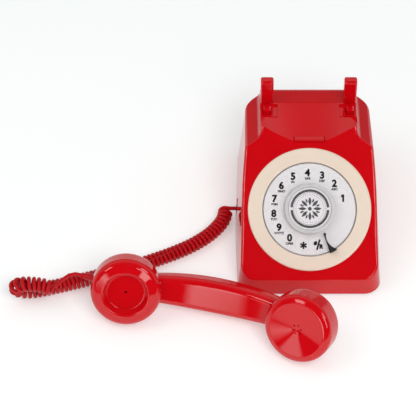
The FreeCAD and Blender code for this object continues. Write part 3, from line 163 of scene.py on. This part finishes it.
# Sizes of the dial print
PRINT_MIDDLE = (-0.6 * MM, -1.0 * MM)
PRINT_CIRCLE = 35.6 * MM
FIRST_ANGLE = 20.0
ANGLE_STEP = 24.1
DIGIT_HEIGHT = 7.7 * MM
DIGIT_WEIGHT = 0.50 * MM
DIGIT_RISE = 2.4 * MM
LETTER_HEIGHT = 2.6 * MM
LETTER_WEIGHT = 0.18 * MM
LETTER_DROP = 3.5 * MM
SIGN_WEIGHT = 0.46 * MM
BOLD_COPIES = 12
PLATE_TOP = 1.4 * MM
PRINT_LIFT = 0.03 * MM

# Label
LABEL_TOP = 9.0 * MM
LABEL_RADIUS = 20.9 * MM

# Label print in shares of the label's radius, where a leaf has its length, half width and inner end
BROKEN_RING = (0.81, 0.93)
BROKEN_RING_STARTS = (4, 184)
BROKEN_RING_SPAN = 172
BROKEN_RING_STEPS = 48
THIN_RING = (0.76, 0.775)
THIN_RING_STEPS = 72
LEAVES = 8
LONG_LEAF = (0.40, 0.075, 0.16)
SHORT_LEAF = (0.22, 0.045, 0.30)
LEAF_STEPS = 8
BEADS = 40
BEAD_CIRCLE = 0.67
BEAD_RADIUS = 0.018
BEAD_STEPS = 10
EYE_RADIUS = 0.09
EYE_STEPS = 24

# Springs under the hook bar
SPRING_WIRE = 0.9 * MM
SPRING_TURNS = 6

# Curly cord
WIRE = 4.0 * MM
COIL_OUTSIDE = 15.8 * MM
COIL_MEAN = (COIL_OUTSIDE - WIRE) / 2
COIL_GAP = 0.38 * MM
FOLD_CROWDING = 0.68
COIL_START_ANGLE = 275.0
COIL_END_ANGLE = 255.0
POINTS_PER_TURN = 16
TUBE_SIDES = 12
SPLINE_ORDER = 3
ROUTE_RESOLUTION = 12
PATH_RESOLUTION = 2
SAME_POINT = 0.0001 * MM

# Ends of the cord: a straight stretch, and how many such stretches its next point lies from the end
LEAD_STRAIGHT = 3.6 * MM
PLUG_WAY = Vector((-1, 0, 0))
PLUG_LEAD = 2.5
GROMMET_LEAD = 4
GROMMET_TIP = 3 * MM

# Route of the coil's middle, from the middle of the base's front edge
ROUTE = [
    (-0.0832, 0.1063, 0.0081),
    (-0.0840, 0.0940, 0.0081),
    (-0.0920, 0.0805, 0.0081),
    (-0.1030, 0.0685, 0.0081),
    (-0.1170, 0.0577, 0.0081),
    (-0.1330, 0.0487, 0.0081),
    (-0.1510, 0.0402, 0.0081),
    (-0.1710, 0.0317, 0.0081),
    (-0.1930, 0.0237, 0.0081),
    (-0.2150, 0.0164, 0.0081),
    (-0.2370, 0.0094, 0.0081),
    (-0.2570, 0.0035, 0.0081),
    (-0.2710, -0.0002, 0.0081),
    (-0.2815, -0.0020, 0.0084),
    (-0.2900, -0.0036, 0.0119),
    (-0.2935, -0.0065, 0.0203),
    (-0.2900, -0.0094, 0.0287),
    (-0.2815, -0.0112, 0.0322),
    (-0.2710, -0.0118, 0.0320),
    (-0.2610, -0.0132, 0.0306),
    (-0.2520, -0.0165, 0.0286),
]


# Places taken from the frame

def joint(name):
    """The record's joint of that name."""
    return next(j for j in frame["record"]["behaviour"]["joints"] if j["name"] == name)


def dial_matrix():
    """Matrix from the dial's own frame to the shared frame."""
    turn = joint("dial_turn")
    out = -Vector(turn["axis"]).normalized()
    right = Vector((1, 0, 0))
    up = out.cross(right)
    rows = Matrix((right, up, out)).transposed().to_4x4()
    return Matrix.Translation(Vector(turn["pos_m"])) @ rows


def box_corners(node):
    """Lowest and highest corner of a node."""
    low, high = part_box(node)
    return Vector(low), Vector(high)


DIAL = dial_matrix()


# Materials

def new_material(name):
    """Material with a Principled shader, and its node tree."""
    material = bpy.data.materials.new(name)
    material.use_nodes = True
    return material, material.node_tree


def shader_of(material):
    """The Principled node of a material."""
    return material.node_tree.nodes["Principled BSDF"]


def mapped(tree, value, source=(0, 1), target=(0, 1), interpolation="LINEAR"):
    """Value carried over from one range to another."""
    node = tree.nodes.new("ShaderNodeMapRange")
    node.interpolation_type = interpolation
    for name, end in zip(("From Min", "From Max", "To Min", "To Max"), (*source, *target)):
        node.inputs[name].default_value = end
    tree.links.new(value, node.inputs["Value"])
    return node.outputs["Result"]


def object_coordinates(tree):
    """Object coordinates, which are the shared frame's metres."""
    return tree.nodes.new("ShaderNodeTexCoord").outputs["Object"]


def noise(tree, where, scale, detail=NOISE_DETAIL):
    """Noise texture of a given scale per metre."""
    node = tree.nodes.new("ShaderNodeTexNoise")
    node.inputs["Scale"].default_value = scale
    node.inputs["Detail"].default_value = detail
    tree.links.new(where, node.inputs["Vector"])
    return node.outputs["Fac"]


def vary_colour(material, factor, low, high):
    """Colour that drifts between two near tones."""
    tree = material.node_tree
    ramp = tree.nodes.new("ShaderNodeValToRGB")
    for stop, position, tone in zip(ramp.color_ramp.elements, TONE_CHANGE, (low, high)):
        stop.position = position
        stop.color = (*tone, 1)
    tree.links.new(factor, ramp.inputs["Fac"])
    tree.links.new(ramp.outputs["Color"], shader_of(material).inputs["Base Color"])


def vary_roughness(material, factor, low, high):
    """Roughness that drifts between two values."""
    tree = material.node_tree
    roughness = mapped(tree, factor, target=(low, high))
    tree.links.new(roughness, shader_of(material).inputs["Roughness"])


def bump(material, factor, strength, distance):
    """Small surface relief."""
    tree = material.node_tree
    node = tree.nodes.new("ShaderNodeBump")
    node.inputs["Strength"].default_value = strength
    node.inputs["Distance"].default_value = distance
    tree.links.new(factor, node.inputs["Height"])
    tree.links.new(node.outputs["Normal"], shader_of(material).inputs["Normal"])


def moulded(name, low, high, rough_low, rough_high, ripple=RIPPLE_SCALE, relief=RIPPLE_HEIGHT):
    """Moulded plastic with a faint drift of tone and a very fine ripple."""
    material, tree = new_material(name)
    where = object_coordinates(tree)
    vary_colour(material, noise(tree, where, TONE_SCALE), low, high)
    vary_roughness(material, noise(tree, where, SHEEN_SCALE), rough_low, rough_high)
    bump(material, noise(tree, where, ripple), RIPPLE_STRENGTH, relief)
    return material


def metal(name, low, high, rough_low, rough_high, grain):
    """Metal with a fine grain."""
    material = moulded(name, low, high, rough_low, rough_high, grain, GRAIN_HEIGHT)
    shader_of(material).inputs["Metallic"].default_value = 1.0
    return material


def sparkled(name, low, high):
    """Silver lacquer with fine flakes."""
    material, tree = new_material(name)
    where = object_coordinates(tree)
    flakes = noise(tree, where, FLAKE_SCALE, FLAKE_DETAIL)
    vary_colour(material, flakes, low, high)
    vary_roughness(material, noise(tree, where, LACQUER_SHEEN_SCALE), *LACQUER_ROUGHNESS)
    bump(material, flakes, FLAKE_STRENGTH, FLAKE_HEIGHT)
    shader_of(material).inputs["Metallic"].default_value = LACQUER_METALLIC
    return material


def clear(name, alpha):
    """Clear moulded plastic, thin enough to see through without bending light."""
    material, tree = new_material(name)
    where = object_coordinates(tree)
    vary_colour(material, noise(tree, where, CLEAR_TONE_SCALE), *CLEAR_TONES)
    vary_roughness(material, noise(tree, where, CLEAR_SHEEN_SCALE), *CLEAR_ROUGHNESS)
    shader_of(material).inputs["Alpha"].default_value = alpha
    return material


RED = moulded("red_shell", (0.575, 0.0016, 0.0050), (0.615, 0.0022, 0.0065), 0.03, 0.06)
RED_CORD = moulded("red_cord", (0.440, 0.0030, 0.0070), (0.510, 0.0045, 0.0095), 0.28, 0.40,
                   ripple=1800.0, relief=0.08 * MM)
shader_of(RED_CORD).inputs["Specular IOR Level"].default_value = CORD_SPECULAR
CREAM = moulded("cream_ring", (0.790, 0.655, 0.535), (0.830, 0.695, 0.575), 0.26, 0.36)
SILVER = sparkled("silver_plate", (0.76, 0.735, 0.745), (0.90, 0.875, 0.885))
HUB = sparkled("hub_silver", (0.57, 0.555, 0.56), (0.69, 0.675, 0.68))
CLEAR = clear("clear_wheel", alpha=0.05)
COVER = clear("clear_cover", alpha=0.04)
PLUG = clear("clear_plug", alpha=0.55)
PAPER = moulded("paper", (0.74, 0.71, 0.735), (0.80, 0.77, 0.795), 0.55, 0.7,
                ripple=2500.0, relief=0.03 * MM)
INK = moulded("ink", (0.006, 0.006, 0.007), (0.0124, 0.0124, 0.0138), 0.45, 0.6,
              ripple=1500.0, relief=0.01 * MM)
BLACK = moulded("black_plastic", (0.010, 0.010, 0.011), (0.018, 0.018, 0.019), 0.30, 0.45)
RUBBER = moulded("rubber", (0.015, 0.015, 0.015), (0.028, 0.028, 0.028), 0.7, 0.85,
                 ripple=1200.0, relief=0.08 * MM)
STEEL = metal("steel", (0.52, 0.52, 0.53), (0.62, 0.62, 0.63), 0.25, 0.4, grain=1500.0)
BRASS = metal("brass", (0.62, 0.42, 0.14), (0.72, 0.50, 0.19), 0.22, 0.35, grain=800.0)
COPPER = metal("copper", (0.52, 0.20, 0.09), (0.60, 0.25, 0.12), 0.3, 0.45, grain=2500.0)
BOARD = moulded("board", (0.015, 0.085, 0.030), (0.022, 0.110, 0.040), 0.35, 0.5)

SLOT_MATERIALS = {
    "red_shell": RED,
    "red_cord": RED_CORD,
    "cream_ring": CREAM,
    "silver_plate": SILVER,
    "clear_wheel": CLEAR,
    "clear_plug": PLUG,
    "steel": STEEL,
    "paper": PAPER,
    "black_plastic": BLACK,
    "rubber": RUBBER,
    "board": BOARD,
    "brass": BRASS,
    "copper": COPPER,
}
OWN_MATERIALS = {
    "hub_ring": HUB,
    # painted highlight: the dial frame wears the hub's pale silver so the gap round the number plate
    # shows light, standing in for the glint along the plate's edge
    "dial_frame": HUB,
    "label_cover": COVER,
    "handset_socket": RED,
}


def dress_nodes():
    """Give every node the material of its slot, or its own where it has one."""
    for part in frame["record"]["subparts"]:
        name = part["node"]
        materials = frame["nodes"][name].data.materials
        materials.clear()
        materials.append(OWN_MATERIALS.get(name, SLOT_MATERIALS[part["material_slot"]]))


# Pieces

def new_piece(name, mesh, material):
    """New piece from a mesh, with its material."""
    piece = bpy.data.objects.new(name, mesh)
    scene.collection.objects.link(piece)
    mesh.materials.clear()
    mesh.materials.append(material)
    return piece


def curve_mesh(curve):
    """Mesh of a curve or a line of text, as it is shown."""
    holder = bpy.data.objects.new(curve.name, curve)
    scene.collection.objects.link(holder)
    bpy.context.view_layer.update()
    shown = holder.evaluated_get(bpy.context.evaluated_depsgraph_get())
    mesh = bpy.data.meshes.new_from_object(shown)
    bpy.data.objects.remove(holder)
    return mesh


def tube_mesh(name, path, radius):
    """Closed round tube along a path."""
    shape = bmesh.new()
    normal = None
    rings = []
    for i, p in enumerate(path):
        way = (path[min(i + 1, len(path) - 1)] - path[max(i - 1, 0)]).normalized()
        start = normal or way.orthogonal()
        normal = (start - way * start.dot(way)).normalized()
        across = way.cross(normal)
        ring = []
        for k in range(TUBE_SIDES):
            a = FULL_TURN * k / TUBE_SIDES
            ring.append(shape.verts.new(p + (normal * math.cos(a) + across * math.sin(a)) * radius))
        rings.append(ring)
    for ring, after in zip(rings, rings[1:]):
        for k in range(TUBE_SIDES):
            beside = (k + 1) % TUBE_SIDES
            shape.faces.new((ring[k], ring[beside], after[beside], after[k]))
    shape.faces.new(list(reversed(rings[0])))
    shape.faces.new(rings[-1])
    for face in shape.faces:
        face.smooth = True
    mesh = bpy.data.meshes.new(name)
    shape.to_mesh(mesh)
    shape.free()
    return mesh


# Dial print

def mesh_corners(mesh):
    """Lowest and highest corner of a mesh."""
    low = Vector([min(v.co[i] for v in mesh.vertices) for i in range(3)])
    high = Vector([max(v.co[i] for v in mesh.vertices) for i in range(3)])
    return low, high


def text_mesh(words, height, weight):
    """Flat mesh of a line of print round the origin, whose shifted copies thicken its strokes."""
    curve = bpy.data.curves.new("print", "FONT")
    curve.body = words
    mesh = curve_mesh(curve)
    low, high = mesh_corners(mesh)
    mesh.transform(Matrix.Translation((low + high) / -2))
    mesh.transform(Matrix.Scale((height - 2 * weight) / (high.y - low.y), 4))
    copies = bmesh.new()
    for k in range(BOLD_COPIES):
        turn = Matrix.Rotation(FULL_TURN * k / BOLD_COPIES, 4, "Z")
        shift = Matrix.Translation(turn @ Vector((weight, 0, 0)))
        mesh.transform(shift)
        copies.from_mesh(mesh)
        mesh.transform(shift.inverted())
    copies.to_mesh(mesh)
    copies.free()
    return mesh


def print_on_plate(name, words, x, y, height, weight):
    """One line of print on the number plate."""
    mesh = text_mesh(words, height, weight)
    mesh.transform(DIAL @ Matrix.Translation((x, y, PLATE_TOP + PRINT_LIFT)))
    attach(new_piece(name, mesh, INK), "base")


def print_sign(place, x, y):
    """The parts of a sign round its place."""
    for k, (words, right, up, height) in enumerate(SIGNS[place]):
        name = "%s_%d" % (place, k)
        print_on_plate(name, words, x + right * MM, y + up * MM, height * MM, SIGN_WEIGHT)


def print_number(place, x, y):
    """A number above its letters."""
    letters = LETTERS[place]
    print_on_plate("number_" + place, place, x, y + DIGIT_RISE, DIGIT_HEIGHT, DIGIT_WEIGHT)
    print_on_plate("letters_" + place, letters, x, y - LETTER_DROP, LETTER_HEIGHT, LETTER_WEIGHT)


def dial_numbers():
    """Numbers, letters and signs printed round the number plate."""
    for i, place in enumerate(PLACES):
        angle = math.radians(FIRST_ANGLE + ANGLE_STEP * i)
        x = PRINT_MIDDLE[0] + PRINT_CIRCLE * math.cos(angle)
        y = PRINT_MIDDLE[1] + PRINT_CIRCLE * math.sin(angle)
        if place in SIGNS:
            print_sign(place, x, y)
        else:
            print_number(place, x, y)


# Label print, drawn for a label of radius one

def flat_band(inner, outer, first, span, steps):
    """Flat part of a ring from an angle over a span, as points and faces."""
    points = []
    faces = []
    for k in range(steps + 1):
        a = math.radians(first + span * k / steps)
        points.append((inner * math.cos(a), inner * math.sin(a), 0))
        points.append((outer * math.cos(a), outer * math.sin(a), 0))
        if k > 0:
            faces.append((2 * k - 2, 2 * k - 1, 2 * k + 1, 2 * k))
    return points, faces


def flat_disc(x, y, radius, steps):
    """Flat disc round a place, as points and one face."""
    turns = [FULL_TURN * k / steps for k in range(steps)]
    points = [(x + radius * math.cos(a), y + radius * math.sin(a), 0) for a in turns]
    return points, [tuple(range(steps))]


def flat_leaf(length, half_width, inner, angle):
    """Flat pointed leaf that starts at a radius and points outwards, as points and one face."""
    one_side = [k / LEAF_STEPS for k in range(LEAF_STEPS + 1)]
    points = [(inner + length * t, half_width * math.sin(math.pi * t), 0) for t in one_side]
    points += [(x, -y, z) for x, y, z in points[-2:0:-1]]
    turn = Matrix.Rotation(math.radians(angle), 3, "Z")
    return [tuple(turn @ Vector(p)) for p in points], [tuple(range(len(points)))]


def join_shapes(name, shapes):
    """One mesh from several flat shapes."""
    points = []
    faces = []
    for shape_points, shape_faces in shapes:
        start = len(points)
        points.extend(shape_points)
        faces.extend(tuple(start + i for i in face) for face in shape_faces)
    mesh = bpy.data.meshes.new(name)
    mesh.from_pydata(points, [], faces)
    return mesh


def label_shapes():
    """Plain design of the label: a broken ring, a thin ring, beads and a rosette of leaves."""
    shapes = []
    for first in BROKEN_RING_STARTS:
        shapes.append(flat_band(*BROKEN_RING, first, BROKEN_RING_SPAN, BROKEN_RING_STEPS))
    shapes.append(flat_band(*THIN_RING, 0, 360, THIN_RING_STEPS))
    for k in range(LEAVES):
        shapes.append(flat_leaf(*LONG_LEAF, 360 * k / LEAVES))
        shapes.append(flat_leaf(*SHORT_LEAF, 360 * (k + 0.5) / LEAVES))
    for k in range(BEADS):
        angle = FULL_TURN * k / BEADS
        x = BEAD_CIRCLE * math.cos(angle)
        y = BEAD_CIRCLE * math.sin(angle)
        shapes.append(flat_disc(x, y, BEAD_RADIUS, BEAD_STEPS))
    shapes.append(flat_disc(0, 0, EYE_RADIUS, EYE_STEPS))
    return shapes


def label_print():
    """The label's design, printed on its card."""
    mesh = join_shapes("label_print", label_shapes())
    place = Matrix.Translation((0, 0, LABEL_TOP + PRINT_LIFT))
    mesh.transform(DIAL @ place @ Matrix.Scale(LABEL_RADIUS, 4))
    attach(new_piece("label_print", mesh, INK), "dial")


# Curly cord

Station = namedtuple("Station", "turn place normal across inward shift")


def spline_points(points, resolution):
    """Points read along a NURBS spline with the given control points."""
    curve = bpy.data.curves.new("route", "CURVE")
    curve.dimensions = "3D"
    spline = curve.splines.new("NURBS")
    spline.points.add(len(points) - 1)
    for control, p in zip(spline.points, points):
        control.co = (*p, 1)
    spline.order_u = SPLINE_ORDER
    spline.use_endpoint_u = True
    curve.resolution_u = resolution
    read = [v.co.copy() for v in curve_mesh(curve).vertices]
    return [p for i, p in enumerate(read) if i == 0 or (p - read[i - 1]).length > SAME_POINT]


def coil_stations(route):
    """Stations along a route, with the angle wound so far and the two ways across the route.

    In a bend the turns crowd. So each station also has the angle that faces into the bend, and how far
    turns step in and out there to clear each other.
    """
    ways = [(b - a).normalized() for a, b in zip(route, route[1:])]
    normal = ways[0].cross(UP).normalized()
    turn = 0.0
    stations = []
    for i in range(1, len(ways)):
        run = (route[i] - route[i - 1]).length
        bend = (ways[i] - ways[i - 1]) / run
        sharpness = COIL_MEAN * bend.length
        pitch = (WIRE + COIL_GAP) / (1 - FOLD_CROWDING * sharpness)
        inner_pitch = min(WIRE, pitch * (1 - sharpness))
        shift = math.sqrt(WIRE ** 2 - inner_pitch ** 2) / 2
        normal = (normal - ways[i] * normal.dot(ways[i])).normalized()
        across = ways[i].cross(normal)
        inward = math.atan2(bend.dot(across), bend.dot(normal))
        turn += FULL_TURN * run / pitch
        stations.append(Station(turn, route[i], normal, across, inward, shift))
    return stations


def helix_point(before, after, angle):
    """Point of the helix at an angle between two stations."""
    share = (angle - before.turn) / (after.turn - before.turn)
    centre = before.place.lerp(after.place, share)
    past_bend = angle - before.inward
    parity = math.floor(past_bend / FULL_TURN + 0.5) % 2
    step = before.shift * max(0.0, math.cos(past_bend)) ** 2 * (1 - 2 * parity)
    out = before.normal * math.cos(angle) + before.across * math.sin(angle)
    return centre + out * (COIL_MEAN + step)


def coil_points(route):
    """Points of the helix round a route."""
    stations = coil_stations(route)
    first = math.radians(COIL_START_ANGLE)
    whole_turns = math.floor(stations[-1].turn / FULL_TURN) - 1
    last = FULL_TURN * whole_turns + math.radians(COIL_END_ANGLE)
    count = round((last - first) / FULL_TURN * POINTS_PER_TURN)
    points = []
    index = 0
    for k in range(count + 1):
        angle = first + (last - first) * k / count
        while stations[index + 1].turn < angle:
            index += 1
        points.append(helix_point(stations[index], stations[index + 1], angle))
    return points


def cord_ends():
    """Where the cord leaves its plug and where it enters the grommet, with its ways there."""
    low, high = box_corners("cord_plug")
    leave = Vector((low.x, (low.y + high.y) / 2, (low.z + high.z) / 2))
    grommet = [v.co.copy() for v in frame["nodes"]["cord_grommet"].data.vertices]
    handle_low, handle_high = box_corners("handset_handle")
    middle = (handle_low + handle_high) / 2
    far = max((v - middle).length for v in grommet)
    tip = [v for v in grommet if (v - middle).length > far - GROMMET_TIP]
    root = [v for v in grommet if v not in tip]
    enter = sum(tip, Vector()) / len(tip)
    back = sum(root, Vector()) / len(root)
    return leave, PLUG_WAY, enter, (back - enter).normalized()


def cord_piece(name, path):
    """Round stretch of the cord along a path."""
    piece = new_piece(name, tube_mesh(name, path, WIRE / 2), RED_CORD)
    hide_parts("curly_cord")
    return piece


def curly_cord():
    """The cord from its plug through the coil, and its last stretch to the handset as a piece of its
    own, left in place.
    """
    base_low, base_high = box_corners("housing")
    front = Vector(((base_low.x + base_high.x) / 2, base_low.y, 0))
    route = spline_points([front + Vector(p) for p in ROUTE], ROUTE_RESOLUTION)
    leave, out_way, enter, in_way = cord_ends()
    turns = coil_points(route)
    controls = [leave, leave + out_way * LEAD_STRAIGHT, leave + out_way * PLUG_LEAD * LEAD_STRAIGHT]
    controls += turns
    controls += [enter - in_way * GROMMET_LEAD * LEAD_STRAIGHT, enter - in_way * LEAD_STRAIGHT, enter]
    path = spline_points(controls, PATH_RESOLUTION)
    split = min(range(len(path)), key=lambda i: (path[i] - turns[-1]).length)
    lead = cord_piece("curly_cord_lead", path[split - 1:])
    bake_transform(lead)
    cord = cord_piece("curly_cord_turns", path[:split + 1])
    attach(cord, "base")


# Springs under the hook bar

def hook_springs():
    """Two wound springs, built in place of the part's springs and fixed to the base."""
    low, high = box_corners("hook_springs")
    outside = (high.y - low.y) / 2
    mean = outside - SPRING_WIRE / 2
    count = SPRING_TURNS * POINTS_PER_TURN
    rise = (high.z - low.z - SPRING_WIRE) / count
    shapes = bmesh.new()
    for x in (low.x + outside, high.x - outside):
        foot = Vector((x, low.y + outside, low.z + SPRING_WIRE / 2))
        path = []
        for k in range(count + 1):
            angle = FULL_TURN * k / POINTS_PER_TURN
            path.append(foot + Vector((mean * math.cos(angle), mean * math.sin(angle), rise * k)))
        shapes.from_mesh(tube_mesh("hook_spring", path, SPRING_WIRE / 2))
    mesh = bpy.data.meshes.new("wound_springs")
    shapes.to_mesh(mesh)
    shapes.free()
    springs = new_piece("wound_springs", mesh, STEEL)
    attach(springs, "base")
    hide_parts("hook_springs")
    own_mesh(springs)


# Stage

def floor_material():
    """Pale matt surface that keeps shadows and is white to the camera where nothing shades it."""
    material, tree = new_material("floor")
    shader = shader_of(material)
    shader.inputs["Base Color"].default_value = FLOOR_COLOUR
    shader.inputs["Roughness"].default_value = FLOOR_ROUGHNESS
    shader.inputs["Specular IOR Level"].default_value = FLOOR_SPECULAR
    glow = tree.nodes.new("ShaderNodeEmission")
    glow.inputs["Strength"].default_value = FLOOR_GLOW
    both = tree.nodes.new("ShaderNodeAddShader")
    tree.links.new(shader.outputs["BSDF"], both.inputs[0])
    tree.links.new(glow.outputs["Emission"], both.inputs[1])
    tree.links.new(both.outputs["Shader"], tree.nodes["Material Output"].inputs["Surface"])
    return material


def white_floor():
    """Square floor under the telephone."""
    mesh = bpy.data.meshes.new("floor")
    corners = [(x * FLOOR_HALF, y * FLOOR_HALF, 0) for x, y in ((-1, -1), (1, -1), (1, 1), (-1, 1))]
    mesh.from_pydata(corners, [], [(0, 1, 2, 3)])
    mesh.materials.append(floor_material())
    floor = bpy.data.objects.new("floor", mesh)
    scene.collection.objects.link(floor)


def math_value(tree, kind, operation, first, second=None):
    """Output of a math or vector math node with one or two inputs."""
    node = tree.nodes.new(kind)
    node.operation = operation
    for socket, value in zip(node.inputs, (first, second)):
        if isinstance(value, bpy.types.NodeSocket):
            tree.links.new(value, socket)
        elif value is not None:
            socket.default_value = value
    return node.outputs["Value"]


def number(tree, operation, first, second=None):
    """Result of a sum on numbers."""
    return math_value(tree, "ShaderNodeMath", operation, first, second)


def along(tree, where, way):
    """How far a direction goes along a way."""
    return math_value(tree, "ShaderNodeVectorMath", "DOT_PRODUCT", where, way)


def inside(tree, value, half, soft):
    """One within half a width of nought, and softly nought outside it."""
    return mapped(tree, number(tree, "ABSOLUTE", value), source=(half + soft, half))


def window(tree, where, centre, half_width, half_height, soft, strength):
    """Brightness of a window in a direction. The same seen the opposite way lies under the floor."""
    centre = Vector(centre).normalized()
    right = centre.cross(UP).normalized()
    wide = inside(tree, along(tree, where, right), half_width, soft)
    high = inside(tree, along(tree, where, right.cross(centre)), half_height, soft)
    pane = number(tree, "MULTIPLY", wide, high)
    return number(tree, "MULTIPLY", pane, strength)


def room_seen(tree):
    """Brightness that glossy surfaces see: a dark camera side, a paler rear, and the windows."""
    where = tree.nodes.new("ShaderNodeTexCoord").outputs["Generated"]
    rearward = along(tree, where, REARWARD)
    total = mapped(tree, rearward, LEVEL_CHANGE, (CAMERA_SIDE_LEVEL, REAR_LEVEL), "SMOOTHSTEP")
    for place in WINDOWS:
        total = number(tree, "ADD", total, window(tree, where, *place))
    return total


def mixed(tree, factor, unless, when):
    """Shader that is one or the other as a factor says."""
    mix = tree.nodes.new("ShaderNodeMixShader")
    tree.links.new(factor, mix.inputs["Fac"])
    tree.links.new(unless, mix.inputs[1])
    tree.links.new(when, mix.inputs[2])
    return mix.outputs["Shader"]


def room_light():
    """Soft light from all round, white to the camera, with a room of its own for glossy surfaces."""
    world = bpy.data.worlds.new("room")
    scene.world = world
    world.use_nodes = True
    tree = world.node_tree
    plain = tree.nodes["Background"]
    plain.inputs["Color"].default_value = (1, 1, 1, 1)
    plain.inputs["Strength"].default_value = ROOM_LEVEL
    seen = tree.nodes.new("ShaderNodeBackground")
    tree.links.new(room_seen(tree), seen.inputs["Strength"])
    white = tree.nodes.new("ShaderNodeBackground")
    ray = tree.nodes.new("ShaderNodeLightPath").outputs
    light = mixed(tree, ray["Is Glossy Ray"], plain.outputs["Background"], seen.outputs["Background"])
    shown = mixed(tree, ray["Is Camera Ray"], light, white.outputs["Background"])
    tree.links.new(shown, tree.nodes["World Output"].inputs["Surface"])


def soft_box(name, place, power):
    """Square lamp that faces the telephone and isn't seen in it."""
    lamp = bpy.data.lights.new(name, "AREA")
    lamp.shape = "SQUARE"
    lamp.size = LAMP_SIDE
    lamp.energy = power
    holder = bpy.data.objects.new(name, lamp)
    scene.collection.objects.link(holder)
    holder.location = place
    way = Vector(LAMP_TARGET) - Vector(place)
    holder.rotation_euler = way.to_track_quat("-Z", "Y").to_euler()
    holder.visible_glossy = False


def photo_camera():
    """Camera at the photograph's angle, aimed beside the dial."""
    data = bpy.data.cameras.new("camera")
    data.sensor_width = SENSOR_WIDTH
    data.lens = SENSOR_WIDTH * VIEW_DISTANCE / (2 * HALF_FRAME)
    data.clip_end = FARTHEST_SEEN
    camera = bpy.data.objects.new("camera", data)
    scene.collection.objects.link(camera)
    tilt = math.radians(VIEW_ELEVATION)
    up = Vector((0, math.sin(tilt), math.cos(tilt)))
    back = Vector((0, -math.cos(tilt), math.sin(tilt)))
    target = DIAL.translation + Vector((VIEW_RIGHT_OF_DIAL, 0, 0)) + up * VIEW_UP_FROM_DIAL
    camera.location = target + back * VIEW_DISTANCE
    camera.rotation_euler = (math.radians(90 - VIEW_ELEVATION), 0, 0)
    scene.camera = camera


photo_camera()
dress_nodes()
curly_cord()
dial_numbers()
label_print()
hook_springs()
white_floor()
room_light()
for lamp in LAMPS:
    soft_box(*lamp)
